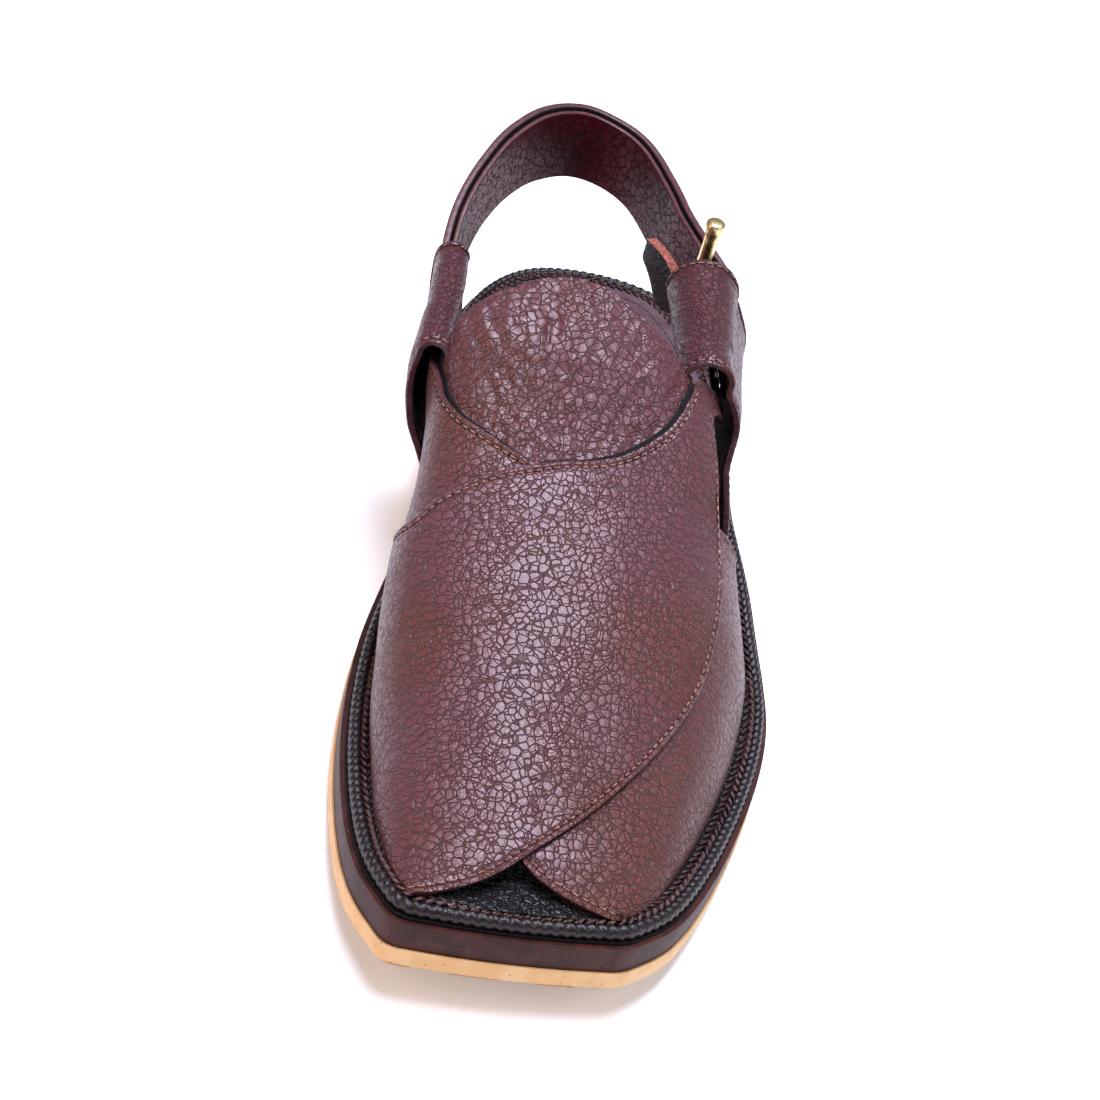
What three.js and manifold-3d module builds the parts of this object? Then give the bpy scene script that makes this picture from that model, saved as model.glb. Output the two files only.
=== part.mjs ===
// Kaptan chappal, left shoe: two crossed vamp straps on a flat square-toed sole, with side bands and a heel strap.
// Millimetres, +Z up. The toe points along -Y, the outer side of the foot along +X, and the floor is z = 0.
import * as THREE from 'three';
import { mergeVertices } from 'three/addons/utils/BufferGeometryUtils.js';
import Module from 'manifold-3d';

const wasm = await Module();
wasm.setup();

// Overall sizes
const LENGTH = 290;
const BALL_WIDTH = 112;
const INSTEP_HEIGHT = 71;
const TOE_SPRING = 12;
const ARCH_LIFT = 4.5;

// Sole layers
const LUG_DEPTH = 1.6;
const OUTSOLE_THICKNESS = 6.9;
const MIDSOLE_THICKNESS = 8.2;
const INSOLE_THICKNESS = 3.8;
const MIDSOLE_STEP = 0.5;
const RAND_STEP = 2.2;
const RAND_WIDTH = 4.2;
const RAND_HEIGHT = 3.9;
const TOE_CORNER_RADIUS = 5;
const TOE_BOW = 1.4;

// Tread
const TREAD_PITCH = 20;
const ROUND_STUD = 11.6;
const HEX_STUD = 10.4;
const ROUND_SIDES = 8;
const STUD_SINK = 0.5;
const STUD_INSIDE = 0.33;
const LATTICE_ACROSS = 0.3;
const LATTICE_ALONG = -0.15;
const TREAD_MARGIN = 1.2;

// Leather
const STRAP_WALL = 2;
const OVERLAY_RISE = 1.6;
const SEAM_SINK = 1;
const UPPER_INSET = 7.4;
const TONGUE_WALL = 2;
const TONGUE_PUFF = 4.6;
const BAND_WALL = 2;
const GROW_BEHIND = 0.33;
const HEEL_STRAP_WALL = 4;
const TAIL_WALL = 3;
const TAIL_REACH = 17.5;
const TAIL_IN_LOOP = 6;
const TAIL_FOOT = [0.92, 0.9];
const TAIL_HEAD = [1.03, 1.165];
const TAIL_RISE_FROM = [0.1, 0.9];
const TAIL_SWING = 10;
const TAIL_SWING_OVER = 13;
const TAB_END = 32;
const STEEP_SHARE = 0.78;
const LEAN_POWER = 0.7;
const ROOT_DROP = 0.8;
const RIDGE_SHARE = 0.985;
const TAB_FROM = 0.085;
const TONGUE_GAP = 0.6;
const GAP = 0.3;

// Buckle
const BUCKLE_WIRE = 4;
const BUCKLE_HEIGHT = 33;
const BUCKLE_REACH = 10;
const BUCKLE_CAP = 6;
const BUCKLE_LEVEL = 62;
const BUCKLE_GAP = 0.5;
const BUCKLE_PLACE = 0.828;
const BUCKLE_AIM = 0.79;
const BUCKLE_CAP_HEIGHT = 2;
const BUCKLE_DROP = 24;
const BUCKLE_THIN = 1.3;

const SOLE_ROWS = 24;
const SOLE_COLUMNS = 3;
const HEEL_CLOSE = 0.982;

// Edge of the sole, from the inner toe corner round the heel to the outer toe corner:
// along is a share of LENGTH from the middle to the heel, across a share of BALL_WIDTH
const soleEdge = [
  { along: -0.496, across: -0.329 },
  { along: -0.424, across: -0.421 },
  { along: -0.286, across: -0.481 },
  { along: -0.148, across: -0.479 },
  { along: -0.010, across: -0.418 },
  { along: 0.128, across: -0.369 },
  { along: 0.266, across: -0.370 },
  { along: 0.386, across: -0.339 },
  { along: 0.452, across: -0.254 },
  { along: 0.486, across: -0.150 },
  { along: 0.5, across: 0.03 },
  { along: 0.486, across: 0.205 },
  { along: 0.452, across: 0.290 },
  { along: 0.369, across: 0.388 },
  { along: 0.266, across: 0.426 },
  { along: 0.128, across: 0.429 },
  { along: -0.010, across: 0.481 },
  { along: -0.148, across: 0.518 },
  { along: -0.286, across: 0.447 },
  { along: -0.424, across: 0.300 },
  { along: -0.473, across: 0.181 },
];

// Sections of the last above the footbed. rise is a share of INSTEP_HEIGHT, ridge a share of BALL_WIDTH,
// the leans are shares of INSTEP_HEIGHT, and the fullness is the power of the section's curve
const lastSections = [
  { along: -0.469, rise: 0.056, ridge: -0.071, innerLean: 0, innerFull: 2.2, outerLean: 0, outerFull: 2 },
  { along: -0.421, rise: 0.155, ridge: -0.071, innerLean: 0, innerFull: 2.2, outerLean: 0, outerFull: 2 },
  { along: -0.345, rise: 0.310, ridge: -0.071, innerLean: 0.014, innerFull: 2.4, outerLean: 0, outerFull: 2 },
  { along: -0.259, rise: 0.465, ridge: -0.071, innerLean: 0.056, innerFull: 2.7, outerLean: 0, outerFull: 2 },
  { along: -0.155, rise: 0.606, ridge: -0.080, innerLean: 0.113, innerFull: 3.4, outerLean: 0, outerFull: 2 },
  { along: -0.055, rise: 0.718, ridge: -0.098, innerLean: 0.162, innerFull: 4, outerLean: -0.014, outerFull: 2.1 },
  { along: 0.017, rise: 0.831, ridge: -0.107, innerLean: 0.239, innerFull: 4, outerLean: -0.099, outerFull: 2.8 },
  { along: 0.055, rise: 0.894, ridge: -0.116, innerLean: 0.310, innerFull: 4, outerLean: -0.127, outerFull: 3 },
  { along: 0.138, rise: 1, ridge: -0.125, innerLean: 0.310, innerFull: 4, outerLean: -0.127, outerFull: 3 },
  { along: 0.241, rise: 1.03, ridge: -0.125, innerLean: 0.310, innerFull: 4, outerLean: -0.127, outerFull: 3 },
];

// Straps over the last, one row for each station from root to tip. toe and throat are the strap's two edges,
// each with along (share of LENGTH) and turn (from -1 at the inner footbed over the ridge to 1 at the outer)
const overStrap = [
  { toeAlong: -0.469, toeTurn: -1.04, throatAlong: -0.062, throatTurn: -1.04 },
  { toeAlong: -0.469, toeTurn: -0.60, throatAlong: -0.090, throatTurn: -0.78 },
  { toeAlong: -0.455, toeTurn: -0.25, throatAlong: -0.121, throatTurn: -0.55 },
  { toeAlong: -0.424, toeTurn: 0.01, throatAlong: -0.107, throatTurn: -0.41 },
  { toeAlong: -0.372, toeTurn: 0.24, throatAlong: -0.086, throatTurn: -0.25 },
  { toeAlong: -0.307, toeTurn: 0.40, throatAlong: -0.069, throatTurn: -0.08 },
  { toeAlong: -0.234, toeTurn: 0.50, throatAlong: -0.059, throatTurn: 0.06 },
  { toeAlong: -0.155, toeTurn: 0.53, throatAlong: -0.041, throatTurn: 0.18 },
  { toeAlong: -0.076, toeTurn: 0.55, throatAlong: -0.007, throatTurn: 0.31 },
  { toeAlong: -0.014, toeTurn: 0.52, throatAlong: 0.034, throatTurn: 0.40 },
  { toeAlong: 0.038, toeTurn: 0.51, throatAlong: 0.060, throatTurn: 0.45 },
];
const underStrap = [
  { toeAlong: -0.455, toeTurn: 1.04, throatAlong: 0.003, throatTurn: 1.04 },
  { toeAlong: -0.455, toeTurn: 0.50, throatAlong: -0.024, throatTurn: 0.78 },
  { toeAlong: -0.445, toeTurn: 0.15, throatAlong: -0.048, throatTurn: 0.50 },
  { toeAlong: -0.421, toeTurn: -0.05, throatAlong: -0.066, throatTurn: 0.25 },
  { toeAlong: -0.359, toeTurn: -0.25, throatAlong: -0.076, throatTurn: 0.03 },
  { toeAlong: -0.276, toeTurn: -0.45, throatAlong: -0.066, throatTurn: -0.15 },
  { toeAlong: -0.179, toeTurn: -0.68, throatAlong: -0.041, throatTurn: -0.36 },
  { toeAlong: -0.062, toeTurn: -1.02, throatAlong: -0.017, throatTurn: -0.46 },
  { toeAlong: -0.007, toeTurn: -0.86, throatAlong: 0.014, throatTurn: -0.53 },
];
const outerTab = { toeTurn: 0.66, throatTurn: 0.59 };
const innerTab = { toeTurn: -0.80, throatTurn: -0.61 };

// Free edge of the tongue, across its width
const tongueEdge = [
  { turn: -0.54, along: 0.022 },
  { turn: -0.46, along: 0.033 },
  { turn: -0.40, along: 0.060 },
  { turn: -0.30, along: 0.083 },
  { turn: -0.12, along: 0.103 },
  { turn: 0.06, along: 0.106 },
  { turn: 0.20, along: 0.088 },
  { turn: 0.33, along: 0.069 },
  { turn: 0.47, along: 0.060 },
];
const TONGUE_ROOT = -0.16;
const TONGUE_FREE = [-0.03, 0.06];
const TONGUE_ROUND = 0.85;

// Heel strap from the inner loop round the heel to the outer loop: where its top and foot edges run, with along a
// share of LENGTH, the two across values shares of BALL_WIDTH, and top and foot levels in shares of INSTEP_HEIGHT
const heelStrapPath = [
  { along: 0.207, topAcross: -0.436, footAcross: -0.415, top: 1.070, foot: 0.740 },
  { along: 0.259, topAcross: -0.420, footAcross: -0.402, top: 1.140, foot: 0.810 },
  { along: 0.310, topAcross: -0.380, footAcross: -0.370, top: 1.200, foot: 0.860 },
  { along: 0.362, topAcross: -0.320, footAcross: -0.316, top: 1.240, foot: 0.890 },
  { along: 0.407, topAcross: -0.243, footAcross: -0.243, top: 1.246, foot: 0.895 },
  { along: 0.438, topAcross: -0.143, footAcross: -0.143, top: 1.220, foot: 0.880 },
  { along: 0.438, topAcross: -0.045, footAcross: -0.045, top: 1.190, foot: 0.866 },
  { along: 0.417, topAcross: 0.036, footAcross: 0.036, top: 1.170, foot: 0.852 },
  { along: 0.372, topAcross: 0.098, footAcross: 0.098, top: 1.155, foot: 0.838 },
  { along: 0.310, topAcross: 0.152, footAcross: 0.154, top: 1.155, foot: 0.831 },
  { along: 0.262, topAcross: 0.205, footAcross: 0.212, top: 1.155, foot: 0.838 },
  { along: 0.225, topAcross: 0.249, footAcross: 0.265, top: 1.130, foot: 0.820 },
];
const LOOP_REAR = 0.172;
const STRAP_TOP = { inner: [1.0, 1.04], outer: [1.03, 1.07] };
const STRAP_FOOT = { inner: [0.66, 0.70], outer: [0.8, 0.82] };
const STRAP_SEAT = { inner: [1.3, 1.3], outer: [0.6, -1] };

// Side bands: where each stands along the shoe at its root and at its fold, how far its two legs stand off the
// strap at its front and rear edges, over which shares of its rise the outer leg swings out to that there,
// and the levels of its fold and of its inner leg's end
const bands = {
  inner: {
    side: -1, rootFrom: 0.028, rootTo: 0.172, foldFrom: 0.038, foldTo: 0.190,
    outFront: 2.8, outRear: 2.8, inFront: 5.7, inRear: 5.7, growFront: [0.08, 0.36], growRear: [0.08, 0.36],
    foldFront: 1.08, foldRear: 1.11, innerEnd: 0.62,
  },
  outer: {
    side: 1, rootFrom: 0.030, rootTo: 0.176, foldFrom: 0.066, foldTo: 0.214,
    outFront: 4.6, outRear: 7.5, inFront: 7.4, inRear: 11, growFront: [0.5, 0.9], growRear: [0.35, 0.85],
    foldFront: 1.165, foldRear: 1.21, innerEnd: 0.70,
  },
};

const alongY = (share) => share * LENGTH;
const acrossX = (share) => share * BALL_WIDTH;
const levelZ = (share) => share * INSTEP_HEIGHT;
const midsoleTop = OUTSOLE_THICKNESS + GAP + MIDSOLE_THICKNESS;
const footbedTop = midsoleTop + GAP + INSOLE_THICKNESS;
const upperFoot = footbedTop + GAP;

// Flat treads end at the ball and at the front of the heel; between them the arch lifts, and the toe springs up
const BALL_FRONT = alongY(-0.2);
const BALL_REAR = alongY(-0.131);
const HEEL_FRONT = alongY(0.259);

function soleBend(y) {
  const ahead = Math.max(0, (BALL_FRONT - y) / (BALL_FRONT + LENGTH / 2));
  const under = THREE.MathUtils.clamp((y - BALL_REAR) / (HEEL_FRONT - BALL_REAR), 0, 1);
  return TOE_SPRING * ahead ** 2 + ARCH_LIFT * Math.sin(Math.PI * under) ** 2;
}

// Reads a table of rows as smooth functions of one of its columns, or of the row's own number
function column(table, name, position) {
  const last = table.length - 1;
  const at = THREE.MathUtils.clamp(position, 0, last);
  const k = Math.min(Math.floor(at), last - 1);
  const t = at - k;
  const value = (i) => table[THREE.MathUtils.clamp(i, 0, last)][name];
  const before = value(k);
  const after = value(k + 1);
  const slopeIn = (after - value(k - 1)) / 2;
  const slopeOut = (value(k + 2) - before) / 2;
  return before * (1 + 2 * t) * (1 - t) ** 2 + slopeIn * t * (1 - t) ** 2
    + after * t * t * (3 - 2 * t) + slopeOut * t * t * (t - 1);
}

function rowAt(table, name, share) {
  const last = table.length - 1;
  if (share <= table[0][name]) return 0;
  if (share >= table[last][name]) return last;
  const k = table.findIndex((row) => row[name] > share) - 1;
  return k + (share - table[k][name]) / (table[k + 1][name] - table[k][name]);
}

const edgeCurve = new THREE.CatmullRomCurve3(
  soleEdge.map((row) => new THREE.Vector3(acrossX(row.across), alongY(row.along), 0)), false, 'centripetal');
const edgePoints = edgeCurve.getSpacedPoints(240);

// The sole's edge moved inwards, cut off by the toe line moved inwards by as much
function insetEdge(inset) {
  const first = edgePoints[0];
  const last = edgePoints[edgePoints.length - 1];
  const toeLine = new THREE.Vector3().subVectors(last, first).normalize();
  const inward = new THREE.Vector3(-toeLine.y, toeLine.x, 0);
  const moved = edgePoints.map((point, i) => {
    const before = edgePoints[Math.max(0, i - 1)];
    const after = edgePoints[Math.min(edgePoints.length - 1, i + 1)];
    const tangent = new THREE.Vector3().subVectors(after, before).normalize();
    return point.clone().add(new THREE.Vector3(tangent.y, -tangent.x, 0).multiplyScalar(inset));
  });
  const depth = (point) => new THREE.Vector3().subVectors(point, first).dot(inward) - inset;
  const kept = moved.filter((point) => depth(point) > 0);
  for (const end of [0, kept.length - 1]) {
    kept[end].addScaledVector(inward, -depth(kept[end]));
  }
  return kept;
}

function lengthAlong(points) {
  const lengths = [0];
  for (let i = 1; i < points.length; i += 1) {
    lengths.push(lengths[i - 1] + points[i].distanceTo(points[i - 1]));
  }
  return lengths;
}

function pointAlong(points, lengths, distance) {
  const last = points.length - 1;
  const at = THREE.MathUtils.clamp(distance, 0, lengths[last]);
  let k = lengths.findIndex((length) => length > at) - 1;
  if (k < 0) k = last - 1;
  return points[k].clone().lerp(points[k + 1], (at - lengths[k]) / (lengths[k + 1] - lengths[k]));
}

// Rows across the sole from the toe edge to the heel; each row runs from the inner to the outer edge
function soleRows(inset, cornerRadius = TOE_CORNER_RADIUS) {
  const edge = insetEdge(inset);
  const lengths = lengthAlong(edge);
  const total = lengths[lengths.length - 1];
  const innerCorner = edge[0];
  const outerCorner = edge[edge.length - 1];
  const rows = [];
  const corner = (from, to) => from.clone().add(
    new THREE.Vector3().subVectors(to, from).setLength(cornerRadius));
  const toeEnds = [corner(innerCorner, outerCorner), corner(outerCorner, innerCorner)];
  const firstEnds = [pointAlong(edge, lengths, cornerRadius), pointAlong(edge, lengths, total - cornerRadius)];
  const soften = (k, tip) => toeEnds[k].clone().add(firstEnds[k]).addScaledVector(tip, 2).multiplyScalar(0.25);
  rows.push(toeEnds);
  rows.push([soften(0, innerCorner), soften(1, outerCorner)]);
  for (let k = 0; k <= SOLE_ROWS; k += 1) {
    const share = k / SOLE_ROWS;
    const distance = cornerRadius + (total / 2 - cornerRadius) * (share * HEEL_CLOSE);
    rows.push([pointAlong(edge, lengths, distance), pointAlong(edge, lengths, total - distance)]);
  }
  return rows.map(([inner, outer], k) => {
    const points = [];
    for (let c = 0; c <= SOLE_COLUMNS; c += 1) {
      const share = c / SOLE_COLUMNS;
      const bow = k === 0 ? TOE_BOW * 4 * share * (1 - share) : 0;
      points.push(inner.clone().lerp(outer, share).add(new THREE.Vector3(0, -bow, 0)));
    }
    return points;
  });
}

// A closed body between two grids of points that match row by row
function bodyBetween(front, back) {
  const rows = front.length;
  const columns = front[0].length;
  const positions = [];
  for (const grid of [front, back]) {
    for (const row of grid) {
      for (const point of row) positions.push(point.x, point.y, point.z);
    }
  }
  const f = (r, c) => r * columns + c;
  const b = (r, c) => rows * columns + r * columns + c;
  const index = [];
  const quad = (p, q, r, s) => index.push(p, q, r, p, r, s);
  for (let r = 0; r < rows - 1; r += 1) {
    for (let c = 0; c < columns - 1; c += 1) {
      quad(f(r, c), f(r, c + 1), f(r + 1, c + 1), f(r + 1, c));
      quad(b(r, c), b(r + 1, c), b(r + 1, c + 1), b(r, c + 1));
    }
    quad(f(r, 0), f(r + 1, 0), b(r + 1, 0), b(r, 0));
    quad(f(r, columns - 1), b(r, columns - 1), b(r + 1, columns - 1), f(r + 1, columns - 1));
  }
  for (let c = 0; c < columns - 1; c += 1) {
    quad(f(0, c), b(0, c), b(0, c + 1), f(0, c + 1));
    quad(f(rows - 1, c), f(rows - 1, c + 1), b(rows - 1, c + 1), b(rows - 1, c));
  }
  return outward(positions, index);
}

// Turns the faces outwards if the body came out inside out
function outward(positions, index) {
  const corner = (i) => new THREE.Vector3().fromArray(positions, index[i] * 3);
  let volume = 0;
  for (let i = 0; i < index.length; i += 3) {
    volume += corner(i).dot(corner(i + 1).cross(corner(i + 2)));
  }
  const turned = [];
  for (let i = 0; i < index.length; i += 3) {
    if (volume < 0) turned.push(index[i], index[i + 2], index[i + 1]);
    else turned.push(index[i], index[i + 1], index[i + 2]);
  }
  const geometry = new THREE.BufferGeometry();
  geometry.setAttribute('position', new THREE.Float32BufferAttribute(positions, 3));
  geometry.setIndex(turned);
  return geometry;
}

// A sheet of leather: at(u, v) gives its middle surface and the wall is laid half to each side of it
function sheet(uSteps, vSteps, at, wall) {
  const front = [];
  const back = [];
  const step = 1e-3;
  for (let i = 0; i <= uSteps; i += 1) {
    const frontRow = [];
    const backRow = [];
    for (let j = 0; j <= vSteps; j += 1) {
      const u = i / uSteps;
      const v = j / vSteps;
      const u0 = Math.max(0, u - step);
      const v0 = Math.max(0, v - step);
      const du = new THREE.Vector3().subVectors(at(Math.min(1, u + step), v), at(u0, v));
      const dv = new THREE.Vector3().subVectors(at(u, Math.min(1, v + step)), at(u, v0));
      const normal = new THREE.Vector3().crossVectors(du, dv).normalize();
      frontRow.push(at(u, v).addScaledVector(normal, wall / 2));
      backRow.push(at(u, v).addScaledVector(normal, -wall / 2));
    }
    front.push(frontRow);
    back.push(backRow);
  }
  return bodyBetween(front, back);
}

function solid(geometry) {
  const bare = geometry.clone();
  bare.deleteAttribute('normal');
  bare.deleteAttribute('uv');
  const merged = mergeVertices(bare, 1e-4);
  return new wasm.Manifold(new wasm.Mesh({
    numProp: 3,
    vertProperties: new Float32Array(merged.attributes.position.array),
    triVerts: new Uint32Array(merged.index.array),
  }));
}

function geometryOf(manifold) {
  const mesh = manifold.getMesh();
  const geometry = new THREE.BufferGeometry();
  geometry.setAttribute('position', new THREE.BufferAttribute(mesh.vertProperties, 3));
  geometry.setIndex(new THREE.BufferAttribute(mesh.triVerts, 1));
  return geometry;
}

// A flat layer of the sole between two levels, bent with it
function layer(inset, low, high, cornerRadius) {
  const rows = soleRows(inset, cornerRadius);
  const lift = (level) => rows.map((row) => row.map(
    (point) => new THREE.Vector3(point.x, point.y, level + soleBend(point.y))));
  return bodyBetween(lift(high), lift(low));
}

// One stud: a prism whose foot touches the floor where the sole is flat and follows the sole elsewhere
function stud(x, y, size, sides) {
  const height = LUG_DEPTH + STUD_SINK;
  const prism = new THREE.CylinderGeometry(size / 2, size / 2, height, sides);
  prism.rotateX(Math.PI / 2).translate(0, 0, height / 2);
  const reach = 2;
  const slope = (soleBend(y + reach) - soleBend(y - reach)) / (2 * reach);
  const flat = Math.abs(soleBend(y)) < 1e-9;
  const lift = Math.max(soleBend(y), flat ? 0 : Math.abs(slope) * (size / 2));
  prism.rotateX(flat ? 0 : Math.atan(slope)).translate(x, y, lift);
  return solid(prism);
}

function outsole() {
  const plate = solid(layer(0, LUG_DEPTH, OUTSOLE_THICKNESS));
  const studs = [];
  const reachX = Math.ceil(BALL_WIDTH / 2 / TREAD_PITCH) + 1;
  const reachY = Math.ceil(LENGTH / 2 / TREAD_PITCH) + 1;
  for (let i = -reachY; i <= reachY; i += 1) {
    for (let j = -reachX; j <= reachX; j += 1) {
      const x = (j + LATTICE_ACROSS) * TREAD_PITCH;
      const y = (i + LATTICE_ALONG) * TREAD_PITCH;
      const half = TREAD_PITCH / 2;
      if (insideSole(x, y, ROUND_STUD * STUD_INSIDE)) studs.push(stud(x, y, ROUND_STUD, ROUND_SIDES));
      if (insideSole(x + half, y + half, HEX_STUD * STUD_INSIDE)) studs.push(stud(x + half, y + half, HEX_STUD, 6));
    }
  }
  const trim = solid(layer(TREAD_MARGIN, -TOE_SPRING, OUTSOLE_THICKNESS - GAP));
  const tread = wasm.Manifold.union(studs).intersect(trim);
  return geometryOf(plate.add(tread));
}

function insideSole(x, y, margin) {
  const edge = insetEdge(margin);
  let inside = false;
  for (let i = 0, k = edge.length - 1; i < edge.length; k = i, i += 1) {
    const p = edge[i];
    const q = edge[k];
    const crosses = (p.y > y) !== (q.y > y) && x < ((q.x - p.x) * (y - p.y)) / (q.y - p.y) + p.x;
    if (crosses) inside = !inside;
  }
  return inside;
}

// The rolled cord along the footbed's edge, closed into a ring
function rand() {
  const rows = soleRows(RAND_STEP + RAND_WIDTH / 2);
  const ring = [...rows.map((row) => row[0]), ...rows.map((row) => row[row.length - 1]).reverse()];
  const sides = 6;
  const positions = [];
  const index = [];
  const count = ring.length;
  const level = midsoleTop + GAP + RAND_HEIGHT / 2;
  for (let i = 0; i < count; i += 1) {
    const tangent = new THREE.Vector3().subVectors(ring[(i + 1) % count], ring[(i + count - 1) % count]);
    const side = new THREE.Vector3(tangent.y, -tangent.x, 0).normalize();
    for (let j = 0; j < sides; j += 1) {
      const turn = (j / sides) * 2 * Math.PI;
      const reach = 1 / Math.cos(Math.PI / sides);
      const point = ring[i].clone().addScaledVector(side, (RAND_WIDTH / 2) * reach * Math.cos(turn));
      const z = level + soleBend(point.y) + (RAND_HEIGHT / 2) * reach * Math.sin(turn);
      positions.push(point.x, point.y, z);
      const a = i * sides + j;
      const b = i * sides + ((j + 1) % sides);
      const c = ((i + 1) % count) * sides + ((j + 1) % sides);
      const d = ((i + 1) % count) * sides + j;
      index.push(a, b, c, a, c, d);
    }
  }
  const bed = solid(layer(RAND_STEP + RAND_WIDTH, 0, LENGTH));
  return geometryOf(solid(outward(positions, index)).subtract(bed));
}

// Where the sole's edge lies at one station along the shoe, on the inner (-1) or outer (1) side
function edgeX(side, y) {
  const half = Math.floor(edgePoints.length / 2);
  const points = side < 0 ? edgePoints.slice(0, half) : edgePoints.slice(half).reverse();
  const k = points.findIndex((point) => point.y > y);
  if (k < 1) return points[0].x + (y - points[0].y) * ((points[1].x - points[0].x) / (points[1].y - points[0].y));
  const share = (y - points[k - 1].y) / (points[k].y - points[k - 1].y);
  return THREE.MathUtils.lerp(points[k - 1].x, points[k].x, share);
}

function sectionAt(side, y) {
  const row = rowAt(lastSections, 'along', y / LENGTH);
  const read = (name) => column(lastSections, name, row);
  const inner = side < 0;
  return {
    rise: levelZ(read('rise')),
    ridge: acrossX(read('ridge')),
    lean: side * levelZ(read(inner ? 'innerLean' : 'outerLean')),
    full: read(inner ? 'innerFull' : 'outerFull'),
    foot: edgeX(side, y) - side * UPPER_INSET,
    level: upperFoot + soleBend(y),
  };
}

// A point of the last: turn runs from -1 at the inner footbed over the ridge (0) to 1 at the outer footbed
function lastPoint(y, turn) {
  const section = sectionAt(turn < 0 ? -1 : 1, y);
  const over = Math.max(0, Math.abs(turn) - 1);
  const angle = (1 - Math.min(1, Math.abs(turn))) * (Math.PI / 2);
  const cos = Math.cos(angle);
  const sin = Math.sin(angle);
  const reach = (cos ** section.full + sin ** section.full) ** (-1 / section.full);
  const height = reach * sin;
  const foot = section.foot + section.lean * height ** LEAN_POWER;
  const x = section.ridge + (foot - section.ridge) * reach * cos;
  return new THREE.Vector3(x, y, section.level + section.rise * height - over * levelZ(ROOT_DROP));
}

// The last moved outwards by a distance square to its own surface; the over strap's outer face lies on it
function lastOffset(y, turn, distance) {
  const step = 0.01;
  const along = new THREE.Vector3().subVectors(lastPoint(y + 1, turn), lastPoint(y - 1, turn));
  const over = new THREE.Vector3().subVectors(lastPoint(y, turn + step), lastPoint(y, turn - step));
  return lastPoint(y, turn).addScaledVector(new THREE.Vector3().crossVectors(over, along).normalize(), distance);
}

// x of the last's side wall at one level
function wallX(side, y, z) {
  const section = sectionAt(side, y);
  const height = THREE.MathUtils.clamp((z - section.level) / section.rise, 0, RIDGE_SHARE);
  const reach = (1 - height ** section.full) ** (1 / section.full);
  return section.ridge + (section.foot + section.lean * height ** LEAN_POWER - section.ridge) * reach;
}

// x of a leg or strap that stands along the wall: above STEEP_SHARE of the rise it goes straight up
function legX(side, y, z) {
  const section = sectionAt(side, y);
  return wallX(side, y, Math.min(z, section.level + STEEP_SHARE * section.rise));
}

// One strap over the last: rise lifts its outer face, and sink lets its inner face reach into what it is sewn on
function strap(table, tab, rise, sink) {
  const rows = [...table];
  for (const share of [TAB_FROM, TAB_END / LENGTH]) {
    rows.push({ toeAlong: share, toeTurn: tab.toeTurn, throatAlong: share, throatTurn: tab.throatTurn });
  }
  const last = rows.length - 1;
  const at = (u, v) => {
    const row = u * last;
    const read = (name) => column(rows, name, row);
    const y = alongY(THREE.MathUtils.lerp(read('toeAlong'), read('throatAlong'), v));
    const turn = THREE.MathUtils.lerp(read('toeTurn'), read('throatTurn'), v);
    return lastOffset(y, turn, rise - sink / 2);
  };
  return solid(sheet(24, 12, at, STRAP_WALL + sink));
}

// The upper: the over strap is sewn on the under strap, and both stop just above the footbed
function upper() {
  const over = strap(overStrap, outerTab, -STRAP_WALL / 2, SEAM_SINK);
  const under = strap(underStrap, innerTab, -STRAP_WALL / 2 - OVERLAY_RISE, 0);
  const ground = solid(layer(0, -LENGTH, upperFoot, 1));
  return geometryOf(over.add(under).subtract(ground));
}

function tongue() {
  const first = tongueEdge[0].turn;
  const last = tongueEdge[tongueEdge.length - 1].turn;
  const seat = -(OVERLAY_RISE + STRAP_WALL + TONGUE_GAP + TONGUE_WALL / 2);
  const at = (u, v) => {
    const turn = THREE.MathUtils.lerp(first, last, v);
    const end = column(tongueEdge, 'along', rowAt(tongueEdge, 'turn', turn));
    const y = alongY(THREE.MathUtils.lerp(TONGUE_ROOT, end, u));
    const free = THREE.MathUtils.smoothstep(y, ...TONGUE_FREE.map(alongY));
    const inside = Math.max(0, Math.sin(Math.PI * v)) ** TONGUE_ROUND;
    return lastOffset(y, turn, seat + TONGUE_PUFF * free * inside);
  };
  return sheet(12, 12, at, TONGUE_WALL);
}

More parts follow.
